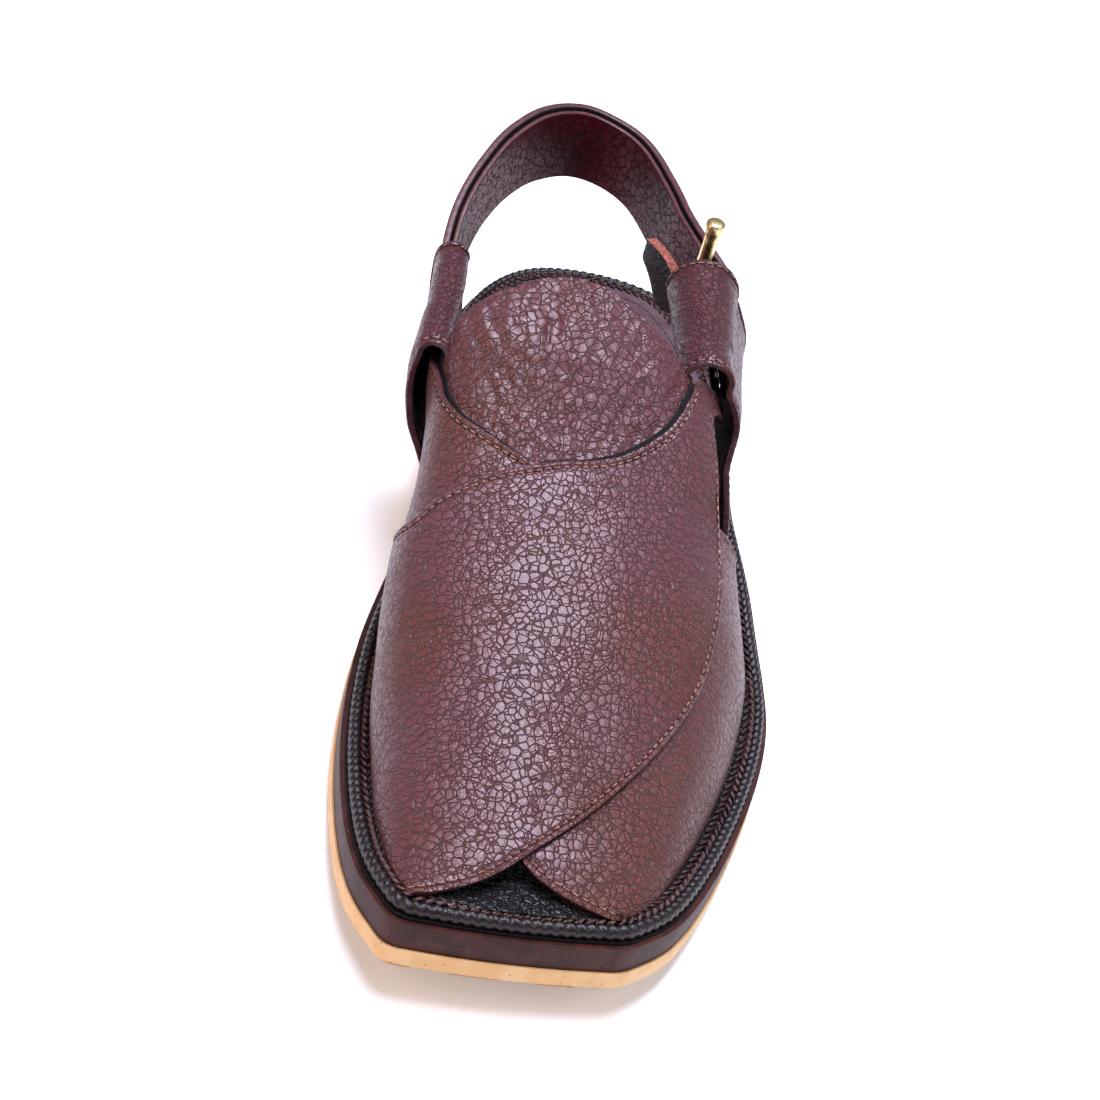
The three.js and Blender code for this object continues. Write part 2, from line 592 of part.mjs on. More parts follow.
// A side band: up from the footbed outside the strap, over it and down on its inner side
function sideBand(band) {
  const legSteps = 7;
  const foldSteps = 6;
  const endSteps = 4;
  const vSteps = legSteps + foldSteps + endSteps;
  const at = (u, v) => {
    const low = alongY(THREE.MathUtils.lerp(band.rootFrom, band.rootTo, u));
    const high = alongY(THREE.MathUtils.lerp(band.foldFrom, band.foldTo, u));
    const out = THREE.MathUtils.lerp(band.outFront, band.outRear, u);
    const within = THREE.MathUtils.lerp(band.inFront, band.inRear, u);
    const radius = (out + within) / 2;
    const fold = levelZ(THREE.MathUtils.lerp(band.foldFront, band.foldRear, u)) - radius;
    const behind = THREE.MathUtils.smoothstep(u, 0, GROW_BEHIND);
    const grow = band.growFront.map((share, k) => THREE.MathUtils.lerp(share, band.growRear[k], behind));
    const place = v * vSteps;
    if (place <= legSteps) {
      const rise = place / legSteps;
      const y = THREE.MathUtils.lerp(low, high, rise);
      const z = THREE.MathUtils.lerp(upperFoot + soleBend(y) - BAND_WALL, fold, rise);
      const stand = THREE.MathUtils.lerp(-BAND_WALL / 2, out, THREE.MathUtils.smoothstep(rise, ...grow));
      return new THREE.Vector3(legX(band.side, y, z) + band.side * stand, y, z);
    }
    const wall = legX(band.side, high, fold);
    if (place <= legSteps + foldSteps) {
      const turn = ((place - legSteps) / foldSteps) * Math.PI;
      const middle = wall + band.side * (out - radius);
      return new THREE.Vector3(middle + band.side * radius * Math.cos(turn), high, fold + radius * Math.sin(turn));
    }
    const down = (place - legSteps - foldSteps) / endSteps;
    const z = THREE.MathUtils.lerp(fold, levelZ(band.innerEnd), down);
    return new THREE.Vector3(legX(band.side, high, z) - band.side * within, high, z);
  };
  const body = solid(sheet(6, vSteps, at, BAND_WALL));
  const ground = solid(layer(0, -LENGTH, upperFoot, 1));
  return geometryOf(body.subtract(ground));
}

// The heel strap's rows, with its two ends laid along the straps' own tips inside the loops
function heelStrapRows() {
  const start = TAB_END + 2 * GAP;
  const inLoop = (side, name, share) => {
    const along = THREE.MathUtils.lerp(start, alongY(LOOP_REAR), share);
    const top = THREE.MathUtils.lerp(...STRAP_TOP[name], share);
    const foot = THREE.MathUtils.lerp(...STRAP_FOOT[name], share);
    const seat = THREE.MathUtils.lerp(...STRAP_SEAT[name], share);
    const across = (level) => (legX(side, along, levelZ(level)) - side * seat) / BALL_WIDTH;
    return { along: along / LENGTH, topAcross: across(top), footAcross: across(foot), top, foot };
  };
  return [
    inLoop(-1, 'inner', 0), inLoop(-1, 'inner', 1), ...heelStrapPath, inLoop(1, 'outer', 1), inLoop(1, 'outer', 0),
  ];
}

const heelRows = heelStrapRows();

function heelStrapPoint(u, v) {
  const row = u * (heelRows.length - 1);
  const read = (name) => column(heelRows, name, row);
  const across = THREE.MathUtils.lerp(read('footAcross'), read('topAcross'), v);
  const level = THREE.MathUtils.lerp(read('foot'), read('top'), v);
  return new THREE.Vector3(acrossX(across), alongY(read('along')), levelZ(level));
}

function heelStrap() {
  return sheet(44, 2, heelStrapPoint, HEEL_STRAP_WALL);
}

// Thick end of the strap, from inside the outer loop up behind the buckle
function strapTail() {
  const band = bands.outer;
  const from = alongY(band.foldTo) - TAIL_IN_LOOP;
  const seat = BAND_WALL / 2 + 2 * GAP + TAIL_WALL / 2;
  const at = (u, v) => {
    const y = from + v * TAIL_REACH;
    const free = THREE.MathUtils.smoothstep(v, ...TAIL_RISE_FROM);
    const ends = [TAIL_FOOT, TAIL_HEAD].map((level) => THREE.MathUtils.lerp(...level, free));
    const z = levelZ(THREE.MathUtils.lerp(...ends, u));
    const share = Math.min(1, (y / LENGTH - band.foldFrom) / (band.foldTo - band.foldFrom));
    const within = THREE.MathUtils.lerp(band.inFront, band.inRear, share);
    const rear = alongY(band.foldTo);
    const stand = legX(1, Math.min(y, rear), z) - within + seat;
    const swing = TAIL_SWING * THREE.MathUtils.smoothstep(y, rear, rear + TAIL_SWING_OVER);
    return new THREE.Vector3(stand - swing, y, z);
  };
  return sheet(4, 8, at, TAIL_WALL);
}

// Brass frame of round wire beside the strap: a tall front bar with a capped end, and a rear bar behind it
function buckle() {
  const wire = BUCKLE_WIRE / 2;
  const rod = (from, to, radius) => {
    const length = from.distanceTo(to);
    const bar = new THREE.CylinderGeometry(radius, radius, length, 12);
    const aim = new THREE.Quaternion().setFromUnitVectors(
      new THREE.Vector3(0, 1, 0), new THREE.Vector3().subVectors(to, from).normalize());
    bar.applyQuaternion(aim);
    const middle = from.clone().add(to).multiplyScalar(0.5);
    return solid(bar.translate(middle.x, middle.y, middle.z));
  };
  const stand = heelStrapPoint(BUCKLE_PLACE, 0.5);
  const next = heelStrapPoint(BUCKLE_AIM, 0.5);
  const away = new THREE.Vector3().subVectors(next, stand).setZ(0).normalize();
  const square = new THREE.Vector3(away.y, -away.x, 0);
  if (square.x > 0) square.negate();
  const seat = HEEL_STRAP_WALL / 2 + BUCKLE_GAP + wire;
  const foot = stand.clone().addScaledVector(square, seat).setZ(BUCKLE_LEVEL);
  const head = foot.clone().setZ(BUCKLE_LEVEL + BUCKLE_HEIGHT);
  const rearFoot = foot.clone().addScaledVector(away, BUCKLE_REACH);
  const low = foot.z + wire;
  const high = head.z - BUCKLE_DROP - wire;
  const bars = [
    rod(foot, head, wire),
    rod(head, head.clone().setZ(head.z + BUCKLE_CAP_HEIGHT), BUCKLE_CAP / 2),
    rod(rearFoot, rearFoot.clone().setZ(high + wire), BUCKLE_THIN),
    rod(foot.clone().setZ(low), rearFoot.clone().setZ(low), BUCKLE_THIN),
    rod(foot.clone().setZ(high), rearFoot.clone().setZ(high), BUCKLE_THIN),
  ];
  return geometryOf(wasm.Manifold.union(bars));
}

const finishes = {
  treadRubber: { color: 0xb98a54, roughness: 0.75, metalness: 0 },
  brownBoard: { color: 0x3f2726, roughness: 0.55, metalness: 0 },
  darkLeather: { color: 0x2a1a1c, roughness: 0.4, metalness: 0 },
  burgundyLeather: { color: 0x6b4248, roughness: 0.42, metalness: 0 },
  blackLeather: { color: 0x241f22, roughness: 0.5, metalness: 0 },
  brass: { color: 0xc9a85a, roughness: 0.25, metalness: 1 },
};

function piece(name, geometry, finish) {
  const mesh = new THREE.Mesh(geometry, new THREE.MeshStandardMaterial(finish));
  mesh.name = name;
  return mesh;
}

const shoe = new THREE.Group();
shoe.name = 'kaptan_chappal';
shoe.add(
  piece('outsole', outsole(), finishes.treadRubber),
  piece('midsole', layer(MIDSOLE_STEP, OUTSOLE_THICKNESS + GAP, midsoleTop), finishes.brownBoard),
  piece('insole', layer(RAND_STEP + RAND_WIDTH + GAP, midsoleTop + GAP, footbedTop), finishes.darkLeather),
  piece('rand', rand(), finishes.darkLeather),
  piece('upper', upper(), finishes.burgundyLeather),
  piece('tongue', tongue(), finishes.burgundyLeather),
  piece('side_band_medial', sideBand(bands.inner), finishes.burgundyLeather),
  piece('side_band_lateral', sideBand(bands.outer), finishes.burgundyLeather),
  piece('heel_strap', heelStrap(), finishes.burgundyLeather),
  piece('strap_tail', strapTail(), finishes.blackLeather),
  piece('buckle', buckle(), finishes.brass),
);

// The origin is the middle of the whole box, on the floor
const box = new THREE.Box3();
for (const { geometry } of shoe.children) {
  geometry.computeBoundingBox();
  box.union(geometry.boundingBox);
}
const middle = box.getCenter(new THREE.Vector3());
for (const { geometry } of shoe.children) geometry.translate(-middle.x, -middle.y, -box.min.z);

export default shoe;
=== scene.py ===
"""Looks of the kaptan chappal, left shoe: leather, thread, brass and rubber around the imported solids.

Tables and sizes are in millimetres and in shares, as in the part's own source; meshes are in metres.
The toe points along -Y, the outer side of the foot along +X, and the floor is z = 0.
"""

import math

import bmesh
import bpy
import numpy as np
from mathutils import Matrix, Vector, noise


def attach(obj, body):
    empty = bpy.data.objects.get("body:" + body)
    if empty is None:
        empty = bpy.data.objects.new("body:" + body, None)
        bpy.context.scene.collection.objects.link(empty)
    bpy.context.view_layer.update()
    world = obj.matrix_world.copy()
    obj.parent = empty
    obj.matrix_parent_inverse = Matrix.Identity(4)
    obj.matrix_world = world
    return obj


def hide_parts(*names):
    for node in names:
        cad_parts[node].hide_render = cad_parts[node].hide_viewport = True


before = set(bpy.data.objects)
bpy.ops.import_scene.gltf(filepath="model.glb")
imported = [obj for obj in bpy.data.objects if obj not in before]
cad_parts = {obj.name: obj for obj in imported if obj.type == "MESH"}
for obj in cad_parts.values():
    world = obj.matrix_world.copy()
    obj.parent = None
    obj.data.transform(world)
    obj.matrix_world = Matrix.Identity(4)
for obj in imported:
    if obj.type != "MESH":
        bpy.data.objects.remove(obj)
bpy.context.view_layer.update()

MM = 0.001
# The solids are centred on their box: these tables' own origin lies here from it
CENTRED = np.array([-1.746, -0.741, 0.0])

# Sizes of the part, in millimetres
LENGTH = 290.0
BALL_WIDTH = 112.0
INSTEP_HEIGHT = 71.0
TOE_SPRING = 12.0
ARCH_LIFT = 4.5
LUG_DEPTH = 1.6
OUTSOLE_TOP = 6.9
MIDSOLE_FOOT = 7.2
MIDSOLE_TOP = 15.4
FOOTBED_FOOT = 15.7
FOOTBED_TOP = 19.5
UPPER_FOOT = 19.8
MIDSOLE_STEP = 0.5
RAND_STEP = 2.2
CORD_WIDTH = 3.3
RAND_HEIGHT = 3.9
CHAIN_STEP = 7.0
TOE_CORNER_RADIUS = 5.0
TOE_BOW = 1.4
TREAD_PITCH = 20.0
TREAD_MARGIN = 1.2
LATTICE_ACROSS = 0.3
LATTICE_ALONG = -0.15
UPPER_INSET = 7.4
OVERLAY_RISE = 1.6
STEEP_SHARE = 0.78
LEAN_POWER = 0.7
ROOT_DROP = 0.8
RIDGE_SHARE = 0.985
HEEL_CLOSE = 0.994
TAB_FROM = 0.085
TAB_END = 32.0
BAND_WALL = 2.0
GROW_BEHIND = 0.33
BAND_WIDTH = 43.0
STRAP_SEAT = {-1: (1.3, 1.3), 1: (0.6, -1.0)}
TONGUE_ROOT = -0.16
TONGUE_ROUND = 0.85
# How far the black strips stand out beyond the throat edges, as painted shade
SHADE_STRIP_OUT = 1.3
TAIL_WALL = 3.0
TAIL_REACH = 17.5
TAIL_IN_LOOP = 6.0
TAIL_FOOT = (0.92, 0.90)
TAIL_HEAD = (1.03, 1.165)
TAIL_RISE_FROM = (0.1, 0.9)
TAIL_SWING = 10.0
TAIL_SWING_OVER = 13.0
LOOP_REAR = 0.172
HEEL_ENDS = 0.04
HEEL_OUT = 2.0
TAB_GAP = 0.6
TONGUE_SINK = 4.2
TONGUE_PUFF = 4.6
TONGUE_FREE = (-0.03, 0.06)
FAN_ROOT = (-6.0, -62.0)
LAYER_SINK = 0.3
BED_GAP = 0.3
BED_REAR_FROM = 20.0
TOE_CROWN = 3.2
CROWN_AT = -122.0
CROWN_LENGTH = 15.0
# Inset and levels of the black strip under the cord, which is painted shade
CORD_SHADE_INSET = 1.9
CORD_SHADE_SINK = 0.2
CORD_SHADE_RISE = 0.9
LAY_STEPS = 6.0
LAY_DEPTH = 0.12
STITCH_PITCH = 2.45
CHAIN_PITCH = 2.7
BED_STITCH_INSET = 11.5
BED_STITCH_FROM = 30.0
BUCKLE_WIRE = 4.0
BUCKLE_FRAME_RADIUS = 1.3
BUCKLE_HEIGHT = 33.0
BUCKLE_DROP = 24.0
BUCKLE_REACH = 10.0
BUCKLE_CORNER = 2.4
BUCKLE_LEVEL = 62.0
BUCKLE_GAP = 0.5
BUCKLE_PLACE = 0.828
BUCKLE_AIM = 0.79
BALL_FRONT = -0.2 * LENGTH
BALL_REAR = -0.131 * LENGTH
HEEL_FRONT = 0.259 * LENGTH

# Edge of the sole from the inner toe corner round the heel to the outer one: along, across
SOLE_EDGE = [
    (-0.496, -0.329), (-0.424, -0.421), (-0.286, -0.481), (-0.148, -0.479), (-0.010, -0.418),
    (0.128, -0.369), (0.266, -0.370), (0.386, -0.339), (0.452, -0.254), (0.486, -0.150), (0.5, 0.03),
    (0.486, 0.205), (0.452, 0.290), (0.369, 0.388), (0.266, 0.426), (0.128, 0.429), (-0.010, 0.481),
    (-0.148, 0.518), (-0.286, 0.447), (-0.424, 0.300), (-0.473, 0.181),
]

# Sections of the last: along, rise, ridge, inner lean, inner fullness, outer lean, outer fullness
LAST = np.array([
    (-0.469, 0.056, -0.071, 0, 2.2, 0, 2),
    (-0.421, 0.155, -0.071, 0, 2.2, 0, 2),
    (-0.345, 0.310, -0.071, 0.014, 2.4, 0, 2),
    (-0.259, 0.465, -0.071, 0.056, 2.7, 0, 2),
    (-0.155, 0.606, -0.080, 0.113, 3.4, 0, 2),
    (-0.055, 0.718, -0.098, 0.162, 4, -0.014, 2.1),
    (0.017, 0.831, -0.107, 0.239, 4, -0.099, 2.8),
    (0.055, 0.894, -0.116, 0.310, 4, -0.127, 3),
    (0.138, 1, -0.125, 0.310, 4, -0.127, 3),
    (0.241, 1.03, -0.125, 0.310, 4, -0.127, 3),
])

# Straps over the last, from root to tip: toe edge along and turn, throat edge along and turn
OVER_STRAP = [
    (-0.469, -1.04, -0.062, -1.04), (-0.469, -0.60, -0.090, -0.78), (-0.455, -0.25, -0.121, -0.55),
    (-0.424, 0.01, -0.107, -0.41), (-0.372, 0.24, -0.086, -0.25), (-0.307, 0.40, -0.069, -0.08),
    (-0.234, 0.50, -0.059, 0.06), (-0.155, 0.53, -0.041, 0.18), (-0.076, 0.55, -0.007, 0.31),
    (-0.014, 0.52, 0.034, 0.40), (0.038, 0.51, 0.060, 0.45),
    (TAB_FROM, 0.66, TAB_FROM, 0.59), (TAB_END / LENGTH, 0.66, TAB_END / LENGTH, 0.59),
]
UNDER_STRAP = [
    (-0.455, 1.04, 0.003, 1.04), (-0.455, 0.50, -0.024, 0.78), (-0.445, 0.15, -0.048, 0.50),
    (-0.421, -0.05, -0.066, 0.25), (-0.359, -0.25, -0.076, 0.03), (-0.276, -0.45, -0.066, -0.15),
    (-0.179, -0.68, -0.041, -0.36), (-0.062, -1.02, -0.017, -0.46), (-0.007, -0.86, 0.014, -0.53),
    (TAB_FROM, -0.80, TAB_FROM, -0.61), (TAB_END / LENGTH, -0.80, TAB_END / LENGTH, -0.61),
]

# Free edge of the tongue: turn, along
TONGUE_EDGE = np.array([
    (-0.57, 0.030), (-0.47, 0.052), (-0.39, 0.068), (-0.30, 0.083), (-0.12, 0.103), (0.06, 0.106),
    (0.20, 0.090), (0.33, 0.076), (0.50, 0.070),
])

# Heel strap from the inner loop to the outer one: along, top across, foot across, top, foot
HEEL_PATH = [
    (0.207, -0.436, -0.415, 1.070, 0.740), (0.259, -0.420, -0.402, 1.140, 0.810),
    (0.310, -0.380, -0.370, 1.200, 0.860), (0.362, -0.320, -0.316, 1.240, 0.890),
    (0.407, -0.243, -0.243, 1.246, 0.895), (0.438, -0.143, -0.143, 1.220, 0.880),
    (0.438, -0.045, -0.045, 1.190, 0.866), (0.417, 0.036, 0.036, 1.170, 0.852),
    (0.372, 0.098, 0.098, 1.155, 0.838), (0.310, 0.152, 0.154, 1.155, 0.831),
    (0.262, 0.205, 0.212, 1.155, 0.838), (0.225, 0.249, 0.265, 1.130, 0.820),
]
STRAP_TOP = {-1: (1.0, 1.04), 1: (1.03, 1.07)}
STRAP_FOOT = {-1: (0.66, 0.70), 1: (0.80, 0.82)}

# Buckle's bar from its foot to its cap: level, and radius as a share of the wire's
BAR_PROFILE = [
    (0, 0.0005), (0.01, 1), (27.5, 1), (28.2, 1.02), (28.8, 1.12), (29.6, 1.3), (30.4, 1.34), (32.4, 1.34),
    (32.8, 1.2), (BUCKLE_HEIGHT, 0.9), (BUCKLE_HEIGHT + 0.01, 0.0005),
]

# Side bands: where each stands at its root and fold, how far its legs stand off, and its levels
BANDS = {
    "medial": dict(side=-1, root=(0.028, 0.172), fold=(0.038, 0.190), out=(2.4, 2.4), within=(4.4, 4.4),
                   grow=((0.1, 0.65), (0.1, 0.5)), top=(1.08, 1.11), end=0.62),
    "lateral": dict(side=1, root=(0.030, 0.176), fold=(0.066, 0.214), out=(4.6, 7.5), within=(7.4, 11.0),
                    grow=((0.5, 0.9), (0.35, 0.85)), top=(1.165, 1.21), end=0.70),
}


# Colour and node helpers

def shade(text, alpha=1.0):
    """An sRGB hex colour as linear values."""
    out = []
    for k in (1, 3, 5):
        c = int(text[k:k + 2], 16) / 255
        out.append(c / 12.92 if c <= 0.04045 else ((c + 0.055) / 1.055) ** 2.4)
    return (*out, alpha)


def wire(tree, node, links):
    """Links each of the node's named sockets to its source."""
    for name, source in dict(links).items():
        tree.links.new(source, node.inputs[name])


def add(tree, kind, settings=(), links=()):
    """Adds one node; settings are its properties or sockets, links its sockets' sources."""
    made = tree.nodes.new(kind)
    for name, value in dict(settings).items():
        if isinstance(name, str) and hasattr(made, name):
            setattr(made, name, value)
        else:
            made.inputs[name].default_value = value
    wire(tree, made, links)
    return made


def finish(name, settings):
    """A new material with one Principled shader set to these values."""
    made = bpy.data.materials.new(name)
    made.use_nodes = True
    tree = made.node_tree
    shader = next(n for n in tree.nodes if n.type == "BSDF_PRINCIPLED")
    for key, value in settings.items():
        shader.inputs[key].default_value = value
    return made, tree, shader


def per_metre(size_mm):
    """Pattern scale on Object coordinates for cells of this size."""
    return 1.0 / (size_mm * MM)


def warped(tree, size_mm, amount_mm):
    """Object coordinates pushed about by a soft noise, so a pattern's cells come out uneven."""
    place = add(tree, "ShaderNodeTexCoord").outputs["Object"]
    soft = add(tree, "ShaderNodeTexNoise", {"Scale": per_metre(size_mm), "Detail": 3.0}, {"Vector": place})
    centred = add(tree, "ShaderNodeVectorMath", {"operation": "SUBTRACT", 1: (0.5, 0.5, 0.5)},
                  {0: soft.outputs["Color"]})
    scaled = add(tree, "ShaderNodeVectorMath", {"operation": "SCALE", "Scale": amount_mm * MM * 2},
                 {0: centred.outputs[0]})
    return add(tree, "ShaderNodeVectorMath", {"operation": "ADD"},
               {0: place, 1: scaled.outputs[0]}).outputs[0], place


def cracks(tree, place, size_mm, width):
    """Lines between uneven cells, 1 on a cell and 0 in the groove round it."""
    cell = add(tree, "ShaderNodeTexVoronoi", {"feature": "DISTANCE_TO_EDGE", "Scale": per_metre(size_mm)},
               {"Vector": place})
    line = add(tree, "ShaderNodeMapRange", {"interpolation_type": "SMOOTHSTEP", "From Max": width},
               {"Value": cell.outputs["Distance"]})
    return line.outputs["Result"]


def cloud(tree, place, size_mm, detail, low=0.35, high=0.65):
    """Soft patches of this size, 0 between them and 1 on them."""
    soft = add(tree, "ShaderNodeTexNoise", {"Scale": per_metre(size_mm), "Detail": detail}, {"Vector": place})
    patch = add(tree, "ShaderNodeMapRange",
                {"interpolation_type": "SMOOTHSTEP", "From Min": low, "From Max": high},
                {"Value": soft.outputs["Fac"]})
    return patch.outputs["Result"]


def surface(tree, shader, colour, wear, rough_low, rough_high, height, depth_mm):
    """Gives the shader its colour, a roughness that follows the wear pattern, and relief of this depth."""
    roughness = add(tree, "ShaderNodeMapRange",
                    {"interpolation_type": "SMOOTHSTEP", "To Min": rough_low, "To Max": rough_high},
                    {"Value": wear})
    bump = add(tree, "ShaderNodeBump", {"Distance": depth_mm * MM}, {"Height": height})
    wire(tree, shader, {"Base Color": colour.outputs[2], "Roughness": roughness.outputs["Result"],
                        "Normal": bump.outputs["Normal"]})


# Grooves of the grain as shares of a pebble; patches where the hide is loose and where the dye took
# differently, and its pores, in millimetres. Real pores are 0.1 to 0.2 mm and are drawn coarser, so they show.
CREASE_WIDTH = 0.09
SIDE_CREASE_WIDTH = 0.035
LOOSE_PATCH = 22
TONE_PATCH = 45
PORE_SIZE = 0.5


def grain_leather(name, light, dark, warm, grain_mm, depth_mm, rough=0.36, coat=0.25, gloss=0.5):
    """Full-grain cowhide, drum-milled: pebbles of a few millimetres with fine creases between them.

    The grain catches soft light on each pebble, and a thin polish gives a broad sheen. Its creases and fine
    cracks are painted in the dark colour, as painted shade."""
    made, tree, shader = finish(name, {
        "IOR": 1.48, "Specular IOR Level": gloss, "Coat Weight": coat, "Coat Roughness": 0.24,
    })
    place, plain = warped(tree, grain_mm * 2.2, grain_mm * 0.3)
    pillow = add(tree, "ShaderNodeTexVoronoi", {"feature": "SMOOTH_F1", "Smoothness": 0.4,
                                                "Scale": per_metre(grain_mm)}, {"Vector": place})
    dome = add(tree, "ShaderNodeMapRange",
               {"interpolation_type": "SMOOTHSTEP", "From Max": 0.8, "To Min": 1.0, "To Max": 0.0},
               {"Value": pillow.outputs["Distance"]})
    crease = add(tree, "ShaderNodeMath", {"operation": "MULTIPLY"},
                 {0: cracks(tree, place, grain_mm, CREASE_WIDTH),
                  1: cracks(tree, place, grain_mm * 1.6, SIDE_CREASE_WIDTH)}).outputs[0]
    fine = cracks(tree, place, grain_mm * 0.5, 0.12)
    fine_share = add(tree, "ShaderNodeMapRange", {"To Min": 0.05, "To Max": 0.25},
                     {"Value": cloud(tree, plain, LOOSE_PATCH, 2.0, 0.4, 0.62)}).outputs["Result"]
    pores = add(tree, "ShaderNodeTexNoise", {"Scale": per_metre(PORE_SIZE), "Detail": 2.0}, {"Vector": plain})
    height = add(tree, "ShaderNodeMath", {"operation": "MULTIPLY_ADD"},
                 {0: fine, 1: fine_share, 2: crease}).outputs[0]
    height = add(tree, "ShaderNodeMath", {"operation": "MULTIPLY_ADD", 1: 0.28},
                 {0: dome.outputs["Result"], 2: height}).outputs[0]
    height = add(tree, "ShaderNodeMath", {"operation": "MULTIPLY_ADD", 1: 0.1},
                 {0: pores.outputs["Fac"], 2: height}).outputs[0]
    tone = add(tree, "ShaderNodeMix", {"data_type": "RGBA", 6: shade(light), 7: shade(warm)},
               {0: cloud(tree, plain, TONE_PATCH, 2.0, 0.35, 0.68)}).outputs[2]
    # Creases and fine cracks are painted toward the dark colour: painted shade in the grooves
    fine_crack_shade = add(tree, "ShaderNodeMapRange", {"To Min": 0.75}, {"Value": fine}).outputs["Result"]
    crease_shade_mask = add(tree, "ShaderNodeMath", {"operation": "MULTIPLY"}, {0: crease, 1: fine_crack_shade}).outputs[0]
    colour = add(tree, "ShaderNodeMix", {"data_type": "RGBA", 6: shade(dark)}, {0: crease_shade_mask, 7: tone})
    surface(tree, shader, colour, crease_shade_mask, rough + 0.2, rough, height, depth_mm)
    return made


def plain_leather(name, light, dark, rough, size_mm, depth_mm, coat=0.2):
    """Leather with little grain: cut and burnished edges, linings and the footbed's cover."""
    made, tree, shader = finish(name, {"IOR": 1.46, "Coat Weight": coat, "Coat Roughness": 0.35})
    place = warped(tree, size_mm * 3, size_mm)[0]
    soft = cloud(tree, place, size_mm, 6.0, 0.3, 0.7)
    colour = add(tree, "ShaderNodeMix", {"data_type": "RGBA", 6: shade(dark), 7: shade(light)}, {0: soft})
    surface(tree, shader, colour, soft, rough + 0.12, rough, soft, depth_mm)
    return made


# In each grain finish below, the dark colour is painted in the creases, as painted shade
# Upper: milled cowhide dyed burgundy. Its pebbles give many small soft lights, russet where the dye is thin.
upper_leather = grain_leather("milled_cowhide_burgundy", "#62393f", "#452624", "#5e3027",
                              2.2, 0.27, 0.36, 0.0)
# Tongue: the same hide left softer, so its lights lie on wrinkles and not on pebbles alone.
tongue_leather = grain_leather("milled_cowhide_soft", "#62393f", "#452624", "#5c302b", 2.4, 0.24, 0.37, 0.0)
# Side bands: the same hide in a darker colour, pulled over a fold; its creases are painted dark as painted
# shade, so they read as a net.
band_leather = grain_leather("milled_cowhide_band", "#562c33", "#381a1d", "#502627", 2.0, 0.3, 0.34, 0.0)
# Heel strap outside: hide pressed flat and polished, so the light runs over it in one band.
strap_leather = grain_leather("polished_cowhide_strap", "#54262c", "#34161a", "#4a1e22", 1.8, 0.06, 0.3, 0.2)
# Heel strap inside: wine-red glazed hide, dull, with large flat cells whose creases are painted dark as painted
# shade.
strap_inside = grain_leather("glazed_cowhide_inside", "#5a0f1a", "#2a060b", "#33070e",
                             2.8, 0.2, 0.42, 0.0, 0.16)
# Cut edges of the straps: burnished with wax, so a thin line of light follows them.
edge_leather = plain_leather("burnished_leather_edge", "#5c3237", "#3c1d21", 0.42, 1.6, 0.08)
# Lining: unpolished black pigskin. It takes the light, and as painted shade it draws a dark line under each
# edge: strips of it stand out under the straps' throat edges and fill the joint under the cord.
lining_and_shade_leather = plain_leather("black_lining_and_painted_shade", "#100d0d", "#060505", 0.9, 0.8, 0.1, 0.0)
# Strap's end: black cowhide with a tight grain, lit on its pebbles alone.
tail_leather = grain_leather("black_cowhide", "#262327", "#0a090b", "#1c191d", 1.5, 0.3, 0.4, 0.0)
# Its cut edge: loose fibres of split leather, salmon and dull, without any highlight.
raw_edge = plain_leather("raw_split_edge", "#b46a5a", "#7a3c32", 0.85, 0.8, 0.4, 0.0)
# Plaited row: waxed thong, so every turn of it has one small highlight.
welt_leather = plain_leather("waxed_dark_rand", "#3c1a17", "#0f0606", 0.34, 1.1, 0.14, 0.0)
# Cord: rolled leather, waxed nearly black, with a wet-looking line along its top.
cord_leather = plain_leather("waxed_rolled_cord", "#1f1214", "#0c0607", 0.3, 0.9, 0.08, 0.0)
# Footbed at the toes: glazed black cover, whose pebbles give small sharp lights.
bed_front = grain_leather("black_footbed_cover", "#141013", "#050404", "#0f0b0d", 2.1, 0.36, 0.24, 0.0)
# Footbed at the heel: the same cover worn smooth and greyish, so it looks even and dull.
bed_rear = plain_leather("footbed_cover_worn", "#5c4248", "#4a3036", 0.55, 5.0, 0.05, 0.1)


def thread_finish(name, light, dark):
    """Waxed polyester thread: twisted, so light runs over it in short bands."""
    made, tree, shader = finish(name, {"Roughness": 0.55, "Sheen Weight": 0.3})
    place = add(tree, "ShaderNodeTexCoord").outputs["Object"]
    twist = cloud(tree, place, 0.5, 3.0)
    colour = add(tree, "ShaderNodeMix", {"data_type": "RGBA", 6: shade(dark), 7: shade(light)}, {0: twist})
    bump = add(tree, "ShaderNodeBump", {"Distance": 0.08 * MM}, {"Height": twist})
    wire(tree, shader, {"Base Color": colour.outputs[2], "Normal": bump.outputs["Normal"]})
    return made


# Tan on the straps, so each stitch stands out; dark round the footbed; russet over the cord
tan_thread = thread_finish("waxed_tan_thread", "#b07c62", "#5c2f28")
dark_thread = thread_finish("waxed_dark_thread", "#4a2c2c", "#160c0d")
lock_thread = thread_finish("waxed_russet_thread", "#6e3a30", "#341614")
# Awl holes: nearly black, because little light comes out of them
hole_finish = finish("awl_hole", {"Roughness": 0.9, "Base Color": shade("#0d0607")})[0]


